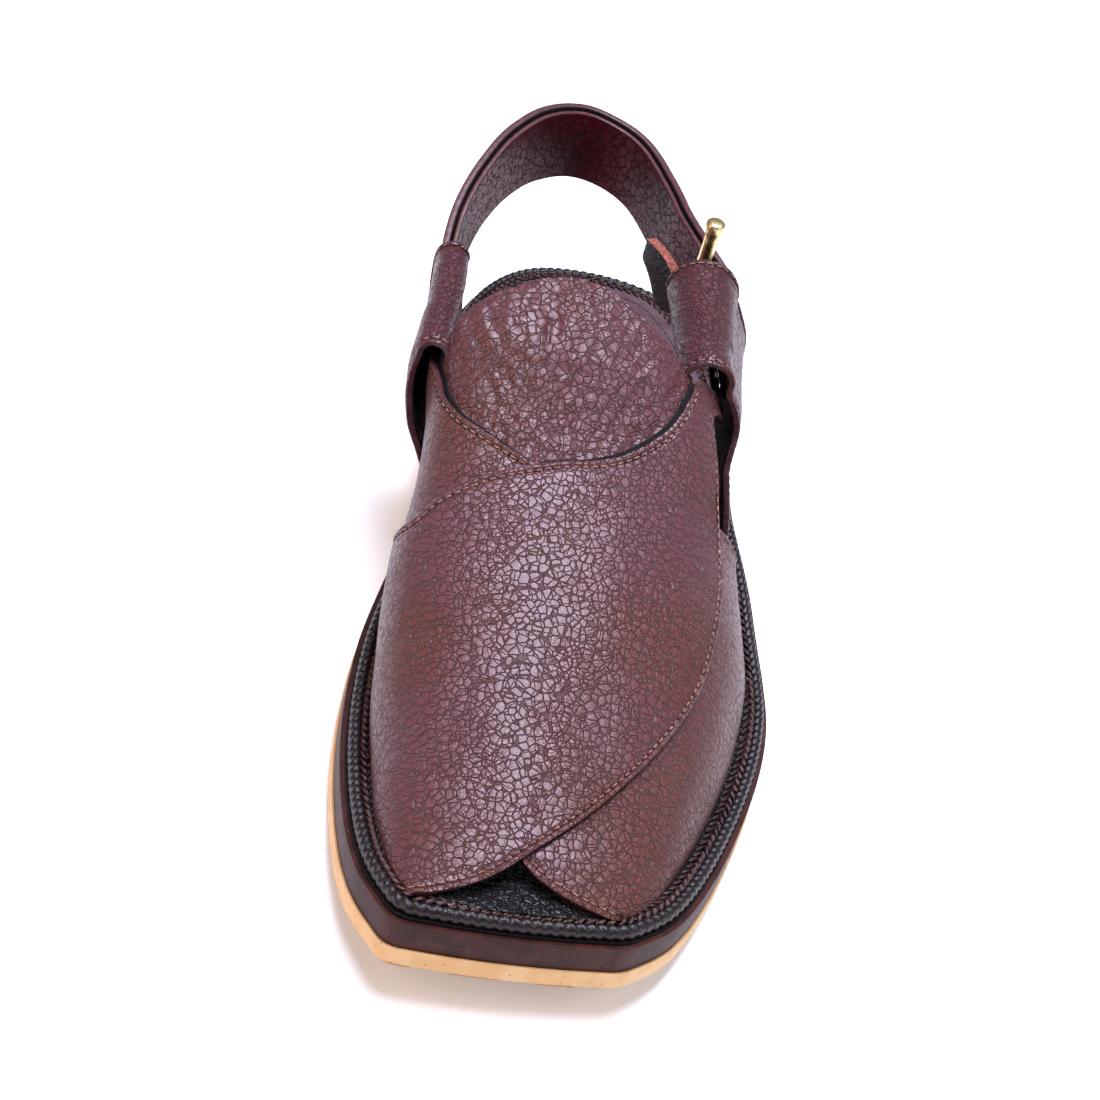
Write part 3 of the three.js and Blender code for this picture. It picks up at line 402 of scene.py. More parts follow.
def rubber_finish(name, light, dark, speck, rough, depth_mm, gloss=0.5):
    """Moulded crepe-like rubber: matt, evenly tinted, with pinholes and faint clouds."""
    made, tree, shader = finish(name, {"IOR": 1.5, "Specular IOR Level": gloss, "Roughness": rough})
    place, plain = warped(tree, 9, 2)
    tone = add(tree, "ShaderNodeMix", {"data_type": "RGBA", 6: shade(dark), 7: shade(light)},
               {0: cloud(tree, place, 7, 5.0)}).outputs[2]
    dots = add(tree, "ShaderNodeTexVoronoi", {"Scale": per_metre(3.2), "Randomness": 1.0}, {"Vector": plain})
    pits = add(tree, "ShaderNodeMapRange",
               {"interpolation_type": "SMOOTHSTEP", "From Min": 0.06, "From Max": 0.1},
               {"Value": dots.outputs["Distance"]}).outputs["Result"]
    colour = add(tree, "ShaderNodeMix", {"data_type": "RGBA", 6: shade(speck)}, {0: pits, 7: tone})
    fine = add(tree, "ShaderNodeTexNoise", {"Scale": per_metre(0.7), "Detail": 4.0}, {"Vector": plain})
    height = add(tree, "ShaderNodeMath", {"operation": "MULTIPLY_ADD", 1: 0.6},
                 {0: pits, 2: fine.outputs["Fac"]})
    bump = add(tree, "ShaderNodeBump", {"Distance": depth_mm * MM}, {"Height": height.outputs[0]})
    wire(tree, shader, {"Base Color": colour.outputs[2], "Normal": bump.outputs["Normal"]})
    return made


# Sole's side: trimmed rubber, honey-coloured and dull. Tread: the same rubber, moulded, darker and with a
# faint sheen. Midsole: board stained dark, nearly without a highlight, with a few pale specks.
side_rubber = rubber_finish("crepe_rubber_edge", "#e3b983", "#d9aa70", "#9a6a40", 0.62, 0.08)
tread_rubber = rubber_finish("crepe_rubber_tread", "#b98447", "#96642f", "#6b4420", 0.42, 0.1)
board_finish = rubber_finish("stained_midsole_edge", "#42201a", "#301510", "#5f4036", 0.55, 0.08, 0.2)


def brass_finish():
    """Cast brass, polished: warm yellow with fine wear lines along the rod."""
    made, tree, shader = finish("polished_brass", {"Metallic": 1.0})
    place = add(tree, "ShaderNodeTexCoord").outputs["Object"]
    along = add(tree, "ShaderNodeVectorMath", {"operation": "MULTIPLY", 1: (1.0, 1.0, 0.12)}, {0: place})
    lines = cloud(tree, along.outputs[0], 0.5, 3.0)
    colour = add(tree, "ShaderNodeMix", {"data_type": "RGBA", 6: shade("#dcc07c"), 7: shade("#f3e3b4")},
                 {0: lines})
    surface(tree, shader, colour, lines, 0.36, 0.26, lines, 0.02)
    return made


brass = brass_finish()


# The last and the sole as functions of the tables

def unit(vectors):
    return vectors / np.linalg.norm(vectors, axis=-1)[..., None]


def run_lengths(points):
    """Distance from the first point along the line to each point."""
    return np.concatenate([[0.0], np.cumsum(np.linalg.norm(np.diff(points, axis=0), axis=1))])


def read_line(points, lengths, at):
    """The line's points at these distances along it."""
    return np.stack([np.interp(at, lengths, points[:, k]) for k in range(points.shape[1])], axis=-1)


def respaced(points, count):
    lengths = run_lengths(points)
    return read_line(points, lengths, np.linspace(0, lengths[-1], count))


def smooth_curve(points, count):
    """A centripetal Catmull-Rom curve through the points, evenly spaced."""
    p = np.array(points, float)
    p = np.vstack([2 * p[0] - p[1], p, 2 * p[-1] - p[-2]])
    t = np.linspace(0, 1, 40, endpoint=False)[:, None]
    pieces = []
    for k in range(1, len(p) - 2):
        a, b, c, d = p[k - 1:k + 3]
        da, db, dc = (math.sqrt(np.linalg.norm(q)) for q in (b - a, c - b, d - c))
        first = ((b - a) / da - (c - a) / (da + db) + (c - b) / db) * db
        second = ((c - b) / db - (d - b) / (db + dc) + (d - c) / dc) * db
        pieces.append(b + first * t + (3 * (c - b) - 2 * first - second) * t ** 2
                      + (2 * (b - c) + first + second) * t ** 3)
    pieces.append(p[-2][None])
    return respaced(np.vstack(pieces), count)


edge_points = smooth_curve([(BALL_WIDTH * x, LENGTH * y) for y, x in SOLE_EDGE], 961)


def bend(y):
    """How far the sole rises at one station: the toe's spring and the arch."""
    ahead = np.clip((BALL_FRONT - y) / (BALL_FRONT + LENGTH / 2), 0, None)
    under = np.clip((y - BALL_REAR) / (HEEL_FRONT - BALL_REAR), 0, 1)
    return TOE_SPRING * ahead ** 2 + ARCH_LIFT * np.sin(np.pi * under) ** 2


def inset_edge(inset):
    """The sole's edge moved inwards and cut off at the toe line."""
    first, last = edge_points[0], edge_points[-1]
    line = (last - first) / np.linalg.norm(last - first)
    inward = np.array([-line[1], line[0]])
    tangent = unit(np.gradient(edge_points, axis=0))
    moved = edge_points + inset * np.stack([tangent[:, 1], -tangent[:, 0]], axis=1)
    depth = (moved - first) @ inward - inset
    kept = moved[depth > 0]
    depth = depth[depth > 0]
    for end in (0, -1):
        kept[end] -= inward * depth[end]
    return kept


def halves(inset, steps, corner_steps=6, radius=TOE_CORNER_RADIUS):
    """Matching points on the inner and outer edge, from the toe line round its corners to the heel."""
    edge = inset_edge(inset)
    lengths = run_lengths(edge)
    total = lengths[-1]
    tips = edge[0], edge[-1]
    across = (tips[1] - tips[0]) / np.linalg.norm(tips[1] - tips[0])
    starts = tips[0] + across * radius, tips[1] - across * radius
    ends = [read_line(edge, lengths, distance) for distance in (radius, total - radius)]
    t = np.linspace(0, 1, corner_steps, endpoint=False)[:, None]
    share = np.linspace(0, 1, steps)
    share = (1 - (1 - share) ** 1.25) * HEEL_CLOSE
    distance = radius + (total / 2 - radius) * share
    sides = []
    for k in (0, 1):
        corner = (1 - t) ** 2 * starts[k] + 2 * t * (1 - t) * tips[k] + t ** 2 * ends[k]
        rest = read_line(edge, lengths, distance if k == 0 else total - distance)
        sides.append(np.vstack([corner, rest]))
    bow = np.concatenate([(1 - t[:, 0]) ** 2, np.zeros(steps)]) * TOE_BOW
    return sides[0], sides[1], bow


def column(rows, k, position):
    """One column of a table as a smooth function of the row's number."""
    values = np.array([row[k] for row in rows], float)
    last = len(values) - 1
    at = np.clip(position, 0, last)
    i = np.minimum(np.floor(at).astype(int), last - 1)
    t = at - i
    ahead, before, after, beyond = (values[np.clip(i + k, 0, last)] for k in (-1, 0, 1, 2))
    slope_in, slope_out = (after - ahead) / 2, (beyond - before) / 2
    return (before * (1 + 2 * t) * (1 - t) ** 2 + slope_in * t * (1 - t) ** 2
            + after * t * t * (3 - 2 * t) + slope_out * t * t * (t - 1))


HALF = len(edge_points) // 2
INNER_EDGE = edge_points[:HALF]
OUTER_EDGE = edge_points[HALF:][::-1]


def edge_x(outer, y):
    """Where the sole's edge lies, on the outer or inner side, at one station along the shoe."""
    found = []
    for points in (INNER_EDGE, OUTER_EDGE):
        order = np.argsort(points[:, 1])
        ys, xs = points[order, 1], points[order, 0]
        slope = (xs[3] - xs[0]) / (ys[3] - ys[0])
        found.append(np.where(y < ys[0], xs[0] + (y - ys[0]) * slope, np.interp(y, ys, xs)))
    return np.where(outer, found[1], found[0])


def section(outer, y):
    """The last's section on one side at a station, in millimetres."""
    row = np.interp(np.asarray(y) / LENGTH, LAST[:, 0], np.arange(len(LAST)))
    side = np.where(outer, 1.0, -1.0)
    lean = np.where(outer, column(LAST, 5, row), column(LAST, 3, row)) * INSTEP_HEIGHT * side
    return dict(rise=column(LAST, 1, row) * INSTEP_HEIGHT, ridge=column(LAST, 2, row) * BALL_WIDTH, lean=lean,
                full=np.where(outer, column(LAST, 6, row), column(LAST, 4, row)),
                foot=edge_x(outer, y) - side * UPPER_INSET, level=UPPER_FOOT + bend(y))


def last_point(y, turn):
    """A point on the last: turn -1 is its inner foot, 0 its ridge and 1 its outer foot.

    Beyond those it goes straight down into the sole."""
    y, turn = np.broadcast_arrays(np.asarray(y, float), np.asarray(turn, float))
    s = section(turn >= 0, y)
    over = np.clip(np.abs(turn) - 1, 0, None)
    angle = (1 - np.minimum(1, np.abs(turn))) * math.pi / 2
    cos, sin = np.clip(np.cos(angle), 0, 1), np.clip(np.sin(angle), 0, 1)
    reach = (cos ** s["full"] + sin ** s["full"]) ** (-1 / s["full"])
    height = reach * sin
    foot = s["foot"] + s["lean"] * height ** LEAN_POWER
    x = s["ridge"] + (foot - s["ridge"]) * reach * cos
    z = s["level"] + s["rise"] * height - over * INSTEP_HEIGHT * ROOT_DROP
    return np.stack([x, y, z], axis=-1)


def last_normal(y, turn):
    along = last_point(y + 1, turn) - last_point(y - 1, turn)
    over = last_point(y, turn + 0.01) - last_point(y, turn - 0.01)
    return unit(np.cross(over, along))


def leg_x(side, y, z):
    """x of a leg or strap along the last's wall: high up it goes straight on."""
    s = section(np.full(np.shape(y), side > 0), y)
    z = np.minimum(z, s["level"] + STEEP_SHARE * s["rise"])
    height = np.clip((z - s["level"]) / s["rise"], 0, RIDGE_SHARE)
    reach = (1 - height ** s["full"]) ** (1 / s["full"])
    return s["ridge"] + (s["foot"] + s["lean"] * height ** LEAN_POWER - s["ridge"]) * reach


def mix(first, second, share):
    return first + (second - first) * share


def smoothstep(value, low, high):
    t = np.clip((value - low) / (high - low), 0, 1)
    return t * t * (3 - 2 * t)


# Mesh helpers

def deselect():
    bpy.ops.object.select_all(action="DESELECT")


def only(piece):
    deselect()
    piece.select_set(True)
    bpy.context.view_layer.objects.active = piece


def place_vertices(piece, points_mm):
    """Moves a mesh's vertices to table points, in millimetres."""
    co = (points_mm + CENTRED) * MM
    piece.data.vertices.foreach_set("co", co.astype(np.float32).ravel())
    piece.data.update()


def vertex_array(mesh):
    co = np.zeros(len(mesh.vertices) * 3, np.float32)
    mesh.vertices.foreach_get("co", co)
    return co.reshape(-1, 3).astype(float)


def new_grid(name, rows, columns):
    """A grid primitive; returns it with each vertex's two shares, along the rows and the columns."""
    deselect()
    bpy.ops.mesh.primitive_grid_add(x_subdivisions=rows, y_subdivisions=columns, size=1)
    piece = bpy.context.object
    piece.name = piece.data.name = name
    co = vertex_array(piece.data)
    return piece, np.round((co[:, 0] + 0.5) * rows) / rows, np.round((co[:, 1] + 0.5) * columns) / columns


def apply_all(piece):
    only(piece)
    for modifier in list(piece.modifiers):
        bpy.ops.object.modifier_apply(modifier=modifier.name)


def new_piece(name, points_mm, faces):
    """A piece from table points, in millimetres, and faces."""
    mesh = bpy.data.meshes.new(name)
    mesh.from_pydata(((points_mm + CENTRED) * MM).tolist(), [], faces)
    piece = bpy.data.objects.new(name, mesh)
    bpy.context.scene.collection.objects.link(piece)
    return piece


def edit_all(piece, *steps):
    """Runs each mesh operator on the whole mesh."""
    only(piece)
    bpy.ops.object.mode_set(mode="EDIT")
    for step in steps:
        bpy.ops.mesh.select_all(action="SELECT")
        step()
    bpy.ops.object.mode_set(mode="OBJECT")


def outward():
    bpy.ops.mesh.normals_make_consistent(inside=False)


def weld():
    bpy.ops.mesh.remove_doubles(threshold=1e-6)


def round_edges(piece, width_mm, degrees):
    """Rounds the edges that are sharper than this angle."""
    rounding = piece.modifiers.new("rounding", "BEVEL")
    rounding.width = width_mm * MM
    rounding.segments = 3
    rounding.limit_method = "ANGLE"
    rounding.angle_limit = math.radians(degrees)
    apply_all(piece)


def smooth(piece, degrees=40):
    only(piece)
    bpy.ops.object.shade_smooth_by_angle(angle=math.radians(degrees))


def hand_over(piece, slot, *nodes):
    """Says which body carries the piece and which solids it stands for. The slot is not used."""
    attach(piece, "root")
    if nodes:
        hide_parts(*nodes)
    return piece


# Sheets face away from the foot's middle line, and those round the heel from the heel's own middle
FOOT_MIDDLE = np.array([-8.0, 0.0, 25.0])
HEEL_MIDDLE = 75.0


def turn_outwards(piece, v, upright):
    """Flips the sheet if its first part faces the foot. Sheets round the heel stand upright."""
    normals, centres = [], []
    for face in piece.data.polygons:
        if np.mean([v[i] for i in face.vertices]) < 0.35:
            normals.append(face.normal)
            centres.append(face.center)
    out = np.array(centres) / MM - CENTRED - FOOT_MIDDLE
    if upright:
        out[:, 1] -= HEEL_MIDDLE
        out[:, 2] = 0.0
    else:
        out[:, 1] = 0.0
    if (np.array(normals) * out).sum() < 0:
        edit_all(piece, bpy.ops.mesh.flip_normals)


def leather_sheet(name, place, rows, columns, wall, finishes, edge_round=0.6, upright=False):
    """A sheet of leather: place(u, v) is its outer face, and its wall goes inwards from there.

    The finishes are those of its outer face, its inner face and its cut, rounded edge."""
    piece, u, v = new_grid(name, rows, columns)
    place_vertices(piece, place(u, v))
    turn_outwards(piece, v, upright)
    for made in finishes:
        piece.data.materials.append(made)
    thick = piece.modifiers.new("wall", "SOLIDIFY")
    thick.thickness = wall * MM
    thick.offset = -1
    thick.use_even_offset = False
    thick.material_offset = 1
    thick.material_offset_rim = 2
    round_edges(piece, edge_round, 55)
    smooth(piece, 60)
    return piece


def lumps(points, size_mm, seed, octaves=3):
    """Soft noise at each point, about -1 to 1."""
    return np.array([noise.fractal(Vector(p / size_mm) + Vector((seed, 0, 0)), 1.0, 2.0, octaves)
                     for p in points])


# Straps of the upper

def edge_rim(distance):
    """A burnished rim beside the cut edge, and the shallow groove the stitches pull in."""
    return 0.3 * np.exp(-((distance - 0.8) / 0.6) ** 2) - 0.35 * np.exp(-((distance - 1.9) / 0.5) ** 2)


def strap_spot(table, u, v):
    """Station and turn on the last at a share along a strap and a share across it."""
    row = u * (len(table) - 1)
    y = mix(column(table, 0, row), column(table, 2, row), v) * LENGTH
    return y, mix(column(table, 1, row), column(table, 3, row), v)


def strap_place(table, drop, swell):
    """Outer face of a strap, sunk by drop under the last's surface, with soft swellings."""
    def place(u, v):
        v = 0.5 - 0.5 * np.cos(math.pi * v)
        y, turn = strap_spot(table, u, v)
        base, normal = last_point(y, turn), last_normal(y, turn)
        toe, throat = (last_point(*strap_spot(table, u, np.full_like(v, share))) for share in (0, 1))
        width = np.linalg.norm(throat - toe, axis=1)
        rise = swell * lumps(base, 16, 3.0, 2) - drop + edge_rim(np.minimum(v, 1 - v) * width)
        return base + normal * rise[:, None]
    return place


over_strap = leather_sheet("strap_over", strap_place(OVER_STRAP, 0.0, 0.35), 190, 84, 1.5,
                           (upper_leather, lining_and_shade_leather, edge_leather))
under_strap = leather_sheet("strap_under", strap_place(UNDER_STRAP, OVERLAY_RISE + 0.05, 0.25), 190, 84, 1.9,
                            (upper_leather, lining_and_shade_leather, edge_leather))


def tongue_place(u, v):
    """The instep flap: puffed under the throat, with long wrinkles that fan out from its root."""
    turn = mix(TONGUE_EDGE[0, 0], TONGUE_EDGE[-1, 0], v)
    row = np.interp(turn, TONGUE_EDGE[:, 0], np.arange(len(TONGUE_EDGE)))
    y = mix(TONGUE_ROOT, column(TONGUE_EDGE, 1, row), u) * LENGTH
    free = smoothstep(y, TONGUE_FREE[0] * LENGTH, TONGUE_FREE[1] * LENGTH)
    inside = np.clip(np.sin(math.pi * v), 0, 1) ** TONGUE_ROUND
    base = last_point(y, turn)
    across, along = base[:, 0] - FAN_ROOT[0], base[:, 1] - FAN_ROOT[1]
    fans = np.column_stack([np.arctan2(across, along) * 70, np.hypot(across, along) * 0.42, np.zeros_like(y)])
    ridges = 1 - np.abs(lumps(fans, 4.6, 11.0, 3)) * 2
    soft = lumps(base, 22, 5.0, 2)
    rise = -TONGUE_SINK + TONGUE_PUFF * free * inside + 0.5 * soft + 0.5 * ridges
    return base + last_normal(y, turn) * rise[:, None]


def shade_strip_place(table, drop, low, high):
    """A black strip under a strap, standing out beyond its throat edge as painted shade: the dark line of shadow
    under that edge.
    """
    def place(u, v):
        y, turn = strap_spot(table, mix(low, high, u), mix(0.9, 1.0, v))
        y = y + SHADE_STRIP_OUT * v
        return last_point(y, turn) - drop * last_normal(y, turn)
    return place


# Black strips along both straps' throat edges: painted shade, the dark gap between strap and tongue
SHADE_STRIP_FINISHES = (lining_and_shade_leather, lining_and_shade_leather, lining_and_shade_leather)
shade_strip_over = leather_sheet("strap_shade_strip_over", shade_strip_place(OVER_STRAP, OVERLAY_RISE, 0.405, 0.8), 110, 8, 0.5,
                            SHADE_STRIP_FINISHES, 0.15)
shade_strip_under = leather_sheet("strap_shade_strip_under", shade_strip_place(UNDER_STRAP, OVERLAY_RISE + 2.0, 0.42, 0.84),
                             110, 8, 0.5, SHADE_STRIP_FINISHES, 0.15)

tongue = leather_sheet("tongue_flap", tongue_place, 150, 150, 1.9,
                       (tongue_leather, lining_and_shade_leather, edge_leather))


# Side bands, folded over at the top into loops

def band_place(band):
    """A band's middle surface: up its outer leg, over the fold, and a little way down inside."""
    side = band["side"]
    leg, fold_part, end_part = 7.0, 6.0, 4.0
    total = leg + fold_part + end_part

    def place(u, v):
        low, high = (mix(*band[name], u) * LENGTH for name in ("root", "fold"))
        out, within = mix(*band["out"], u), mix(*band["within"], u)
        radius = (out + within) / 2
        fold = mix(*band["top"], u) * INSTEP_HEIGHT - radius
        at = v * total
        rise = np.clip(at / leg, 0, 1)
        y = mix(low, high, rise)
        z = mix(UPPER_FOOT + bend(y) - 0.4, fold, rise)
        behind = smoothstep(u, 0, GROW_BEHIND)
        grow = [mix(front, rear, behind) for front, rear in zip(*band["grow"])]
        stand = mix(-BAND_WALL / 2, out, smoothstep(rise, *grow))
        outer = np.stack([leg_x(side, y, z) + side * stand, y, z], axis=-1)
        wall = leg_x(side, high, fold)
        turn = np.clip((at - leg) / fold_part, 0, 1) * math.pi
        middle = wall + side * (out - radius)
        over = np.stack([middle + side * radius * np.cos(turn), high, fold + radius * np.sin(turn)], axis=-1)
        down = np.clip((at - leg - fold_part) / end_part, 0, 1)
        z_in = mix(fold, band["end"] * INSTEP_HEIGHT, down)
        inner = np.stack([leg_x(side, high, z_in) - side * within, high, z_in], axis=-1)
        return np.where((at <= leg)[:, None], outer, np.where((at <= leg + fold_part)[:, None], over, inner))
    return place


def sheet_normal(place, u, v, step, side):
    """Unit normals of the surface place(u, v), away from the foot."""
    du = place(np.clip(u + step, 0, 1), v) - place(np.clip(u - step, 0, 1), v)
    dv = place(u, np.clip(v + step, 0, 1)) - place(u, np.clip(v - step, 0, 1))
    return unit(np.cross(du, dv) * side)


def banded(name, band):
    """Centres the sheet on the band's middle surface and pulls its faces out by half a wall."""
    place = band_place(band)

    def outer_face(u, v):
        u = 0.5 - 0.5 * np.cos(math.pi * u)
        square = sheet_normal(place, u, v, 0.002, band["side"])
        base = place(u, v)
        wrinkle = 0.22 * lumps(base * np.array([1, 1, 0.4]), 5.0, 2.0, 2) + 0.3 * lumps(base, 15, 4.0, 2)
        wrinkle = wrinkle + edge_rim(np.minimum(u, 1 - u) * BAND_WIDTH)
        return base + square * (BAND_WALL / 2 + wrinkle)[:, None]
    return leather_sheet(name, outer_face, 60, 170, 1.6, (band_leather, lining_and_shade_leather, edge_leather))


band_pieces = {name: banded("band_" + name, band) for name, band in BANDS.items()}


# Heel strap of two layers

def heel_rows():
    """The heel strap's table with its two ends added, which lie along the last inside the loops."""
    start = TAB_END + TAB_GAP

    def in_loop(side, share):
        along = mix(start, LOOP_REAR * LENGTH, share)
        top, foot = mix(*STRAP_TOP[side], share), mix(*STRAP_FOOT[side], share)
        across = [(float(leg_x(side, np.array([along]), np.array([level * INSTEP_HEIGHT]))[0])
                   - side * mix(*STRAP_SEAT[side], share)) / BALL_WIDTH for level in (top, foot)]
        return along / LENGTH, across[0], across[1], top, foot
    return [in_loop(-1, 0), in_loop(-1, 1), *HEEL_PATH, in_loop(1, 1), in_loop(1, 0)]


HEEL_ROWS = heel_rows()


def heel_point(u, v):
    """The strap's middle surface: u from the inner loop round to the outer one, v from its foot up."""
    row = u * (len(HEEL_ROWS) - 1)
    across = mix(column(HEEL_ROWS, 2, row), column(HEEL_ROWS, 1, row), v)
    level = mix(column(HEEL_ROWS, 4, row), column(HEEL_ROWS, 3, row), v)
    return np.stack([across * BALL_WIDTH, column(HEEL_ROWS, 0, row) * LENGTH, level * INSTEP_HEIGHT], axis=-1)


def heel_normal(u, v):
    """Points away from the foot."""
    step = 0.004
    du = heel_point(np.clip(u + step, 0, 1), v) - heel_point(np.clip(u - step, 0, 1), v)
    dv = heel_point(u, np.ones_like(v)) - heel_point(u, np.zeros_like(v))
    return unit(np.cross(dv, du))


def heel_layer(name, distance, crown, wall, low, high, finishes):
    """One layer of the strap: its face this far out from the middle, bulging by crown, between two levels."""
    def place(u, v):
        u = HEEL_ENDS * 0.2 + u * (1 - HEEL_ENDS)
        w = mix(low, high, v)
        bulge = crown * np.sin(math.pi * v)
        base = heel_point(u, w)
        wave = 0.25 * lumps(base, 18, 7.0, 2)
        return base + heel_normal(u, w) * (distance + bulge + wave)[:, None]
    return leather_sheet(name, place, 260, 22, wall, finishes, 0.5, True)


heel_outer = heel_layer("heel_strap_outer", HEEL_OUT, 0.5, 2.0, 0.0, 1.0,
                        (strap_leather, lining_and_shade_leather, edge_leather))
heel_inner = heel_layer("heel_strap_inner", -0.5, -0.1, 1.5, 0.02, 0.955,
                        (strap_leather, strap_inside, edge_leather))


# Thick strap end behind the buckle: black grain with a raw salmon edge

def tail_place(u, v):
    """Outer face of the strap's end: in the loop at first, then free, rising and swinging inwards."""
    band = BANDS["lateral"]
    rear = band["fold"][1] * LENGTH
    y = rear - TAIL_IN_LOOP + v * TAIL_REACH
    free = smoothstep(v, *TAIL_RISE_FROM)
    z = mix(mix(*TAIL_FOOT, free), mix(*TAIL_HEAD, free), u) * INSTEP_HEIGHT
    share = np.minimum(1, (y / LENGTH - band["fold"][0]) / (band["fold"][1] - band["fold"][0]))
    within = mix(*band["within"], share)
    stand = leg_x(1, np.minimum(y, rear), z) - within + BAND_WALL / 2 + TAB_GAP + TAIL_WALL / 2
    swing = TAIL_SWING * smoothstep(y, rear, rear + TAIL_SWING_OVER)
    base = np.stack([stand - swing, y, z], axis=-1)
    return base + np.array([TAIL_WALL / 2, 0, 0])


tail = leather_sheet("strap_tail_end", tail_place, 46, 44, TAIL_WALL, (strap_leather, tail_leather, raw_edge),
                     0.35)


# Sole layers

def plate(name, inset, low, high, finishes, rounding_mm, rows=170, columns=26, crown=0.0):
    """A layer of the sole: a grid on its top face, extruded down, with its rim rounded."""
    inner, outer, bow = halves(inset, rows - 5)
    piece, u, v = new_grid(name, rows, columns)
    k = np.round(u * rows).astype(int)
    across = 0.5 - 0.5 * np.cos(math.pi * v)
    xy = inner[k] + (outer[k] - inner[k]) * across[:, None]
    xy[:, 1] -= bow[k] * 4 * across * (1 - across)
    toe_swell = crown * np.sin(math.pi * across) * np.exp(-((xy[:, 1] - CROWN_AT) / CROWN_LENGTH) ** 2)
    z = high + bend(xy[:, 1]) + toe_swell
    place_vertices(piece, np.column_stack([xy, z]))
    for made in finishes:
        piece.data.materials.append(made)

    def pull_down():
        bpy.ops.mesh.extrude_region_move(TRANSFORM_OT_translate={"value": (0, 0, (low - high) * MM)})
    edit_all(piece, pull_down, outward)
    side = 1 if len(finishes) > 1 else 0
    foot = 2 if len(finishes) > 2 else 0
    for face in piece.data.polygons:
        if abs(face.normal.z) < 0.5:
            face.material_index = side
        elif face.normal.z < 0:
            face.material_index = foot
    if rounding_mm:
        round_edges(piece, rounding_mm, 50)
    smooth(piece, 45)
    return piece


outsole = plate("outsole_rubber", 0.0, LUG_DEPTH, OUTSOLE_TOP, (side_rubber, side_rubber, tread_rubber), 0.4)
midsole = plate("midsole_edge", MIDSOLE_STEP, MIDSOLE_FOOT - LAYER_SINK, MIDSOLE_TOP, (board_finish,), 0.7)
footbed = plate("footbed_cover", RAND_STEP + CORD_WIDTH + BED_GAP, FOOTBED_FOOT - LAYER_SINK, FOOTBED_TOP,
                (bed_front, bed_front), 0.8, crown=TOE_CROWN)
footbed.data.materials.append(bed_rear)
for face in footbed.data.polygons:
    if face.center.y > BED_REAR_FROM * MM:
        face.material_index = 2

# Thin black strip that fills the joint under the cord, put in as painted shade: the dark line of shadow between
# cord and midsole
cord_shade_strip = plate("cord_shade_strip", CORD_SHADE_INSET, MIDSOLE_TOP - CORD_SHADE_SINK, MIDSOLE_TOP + CORD_SHADE_RISE,
                   (lining_and_shade_leather,), 0.0)


# Rolled cord round the footbed, with the twist of its lay raised on it

def loop_line(inset, count):
    """A closed line round the sole at this inset, evenly spaced."""
    inner, outer = halves(inset, 400, 12)[:2]
    toe_share = np.linspace(0, 1, 60)[1:-1, None]
    toe = outer[0] + (inner[0] - outer[0]) * toe_share
    toe[:, 1] -= TOE_BOW * 4 * (toe_share * (1 - toe_share))[:, 0]
    ring = np.vstack([inner, outer[::-1], toe, inner[:1]])
    return respaced(ring, count + 1)[:-1]


def ring_frame(line):
    """Unit vectors inwards and along, at each point of a closed line."""
    tangent = unit(np.roll(line, -1, axis=0) - np.roll(line, 1, axis=0))
    return np.stack([tangent[:, 1], -tangent[:, 0]], axis=1), tangent


def rolled_cord():
    """The cord as a grid bent into a ring, its long edges and its ends welded."""
    count, sides = 1500, 14
    line = loop_line(RAND_STEP + CORD_WIDTH / 2, count)
    inward = ring_frame(line)[0]
    piece, u, v = new_grid("rand_cord", count, sides)
    i = np.round(u * count).astype(int) % count
    angle = v * 2 * math.pi
    twist = 1 + LAY_DEPTH * np.sin(2 * math.pi * (u * count / LAY_STEPS) + 2 * angle)
    reach = CORD_WIDTH / 2 * twist
    xy = line[i] + inward[i] * (reach * np.cos(angle))[:, None]
    z = MIDSOLE_TOP + 0.8 + RAND_HEIGHT / 2 + bend(line[i][:, 1]) + RAND_HEIGHT / 2 * twist * np.sin(angle)
    place_vertices(piece, np.column_stack([xy, z]))
    edit_all(piece, weld, outward)
    piece.data.materials.append(cord_leather)
    smooth(piece, 80)
    return piece


cord = rolled_cord()


# Stitches: one thread bead is modelled once and copied along each line

def bead_mesh(length, width, height, sides=6, rings=4):
    """A rounded thread stitch along +Y, its middle at the origin, in millimetres."""
    deselect()
    bpy.ops.mesh.primitive_uv_sphere_add(segments=sides, ring_count=rings + 2, radius=0.5)
    bead = bpy.context.object
    co = vertex_array(bead.data)
    shape = np.column_stack([co[:, 0] * width, co[:, 2] * length, co[:, 1] * height])
    faces = [list(face.vertices)[::-1] for face in bead.data.polygons]
    bpy.data.objects.remove(bead)
    return shape, faces


def scatter(name, shape, faces, places, made):
    """Joins copies of one small shape: each place is a point, its run, its outward direction."""
    points, polygons = [], []
    for point, run, out in places:
        run = run / np.linalg.norm(run)
        out = out - run * (out @ run)
        out = out / np.linalg.norm(out)
        across = np.cross(run, out)
        start = len(points) * len(shape)
        points.append(point + shape[:, :1] * across + shape[:, 1:2] * run + shape[:, 2:] * out)
        polygons.extend([[i + start for i in face] for face in faces])
    piece = new_piece(name, np.vstack(points), polygons)
    piece.data.materials.append(made)
    edit_all(piece, outward)
    smooth(piece, 80)
    return piece


def stitch_places(line, normals, pitch, sink=0.0):
    """Places for stitches along a line of points, each pointing to the next."""
    lengths = run_lengths(line)
    count = max(1, int(lengths[-1] / pitch))
    at = (np.arange(count) + 0.5) * lengths[-1] / count
    middle, out = read_line(line, lengths, at), read_line(normals, lengths, at)
    run = read_line(line, lengths, at + 0.4) - read_line(line, lengths, at - 0.4)
    return [(m + n * sink, r, n) for m, r, n in zip(middle, run, out)]


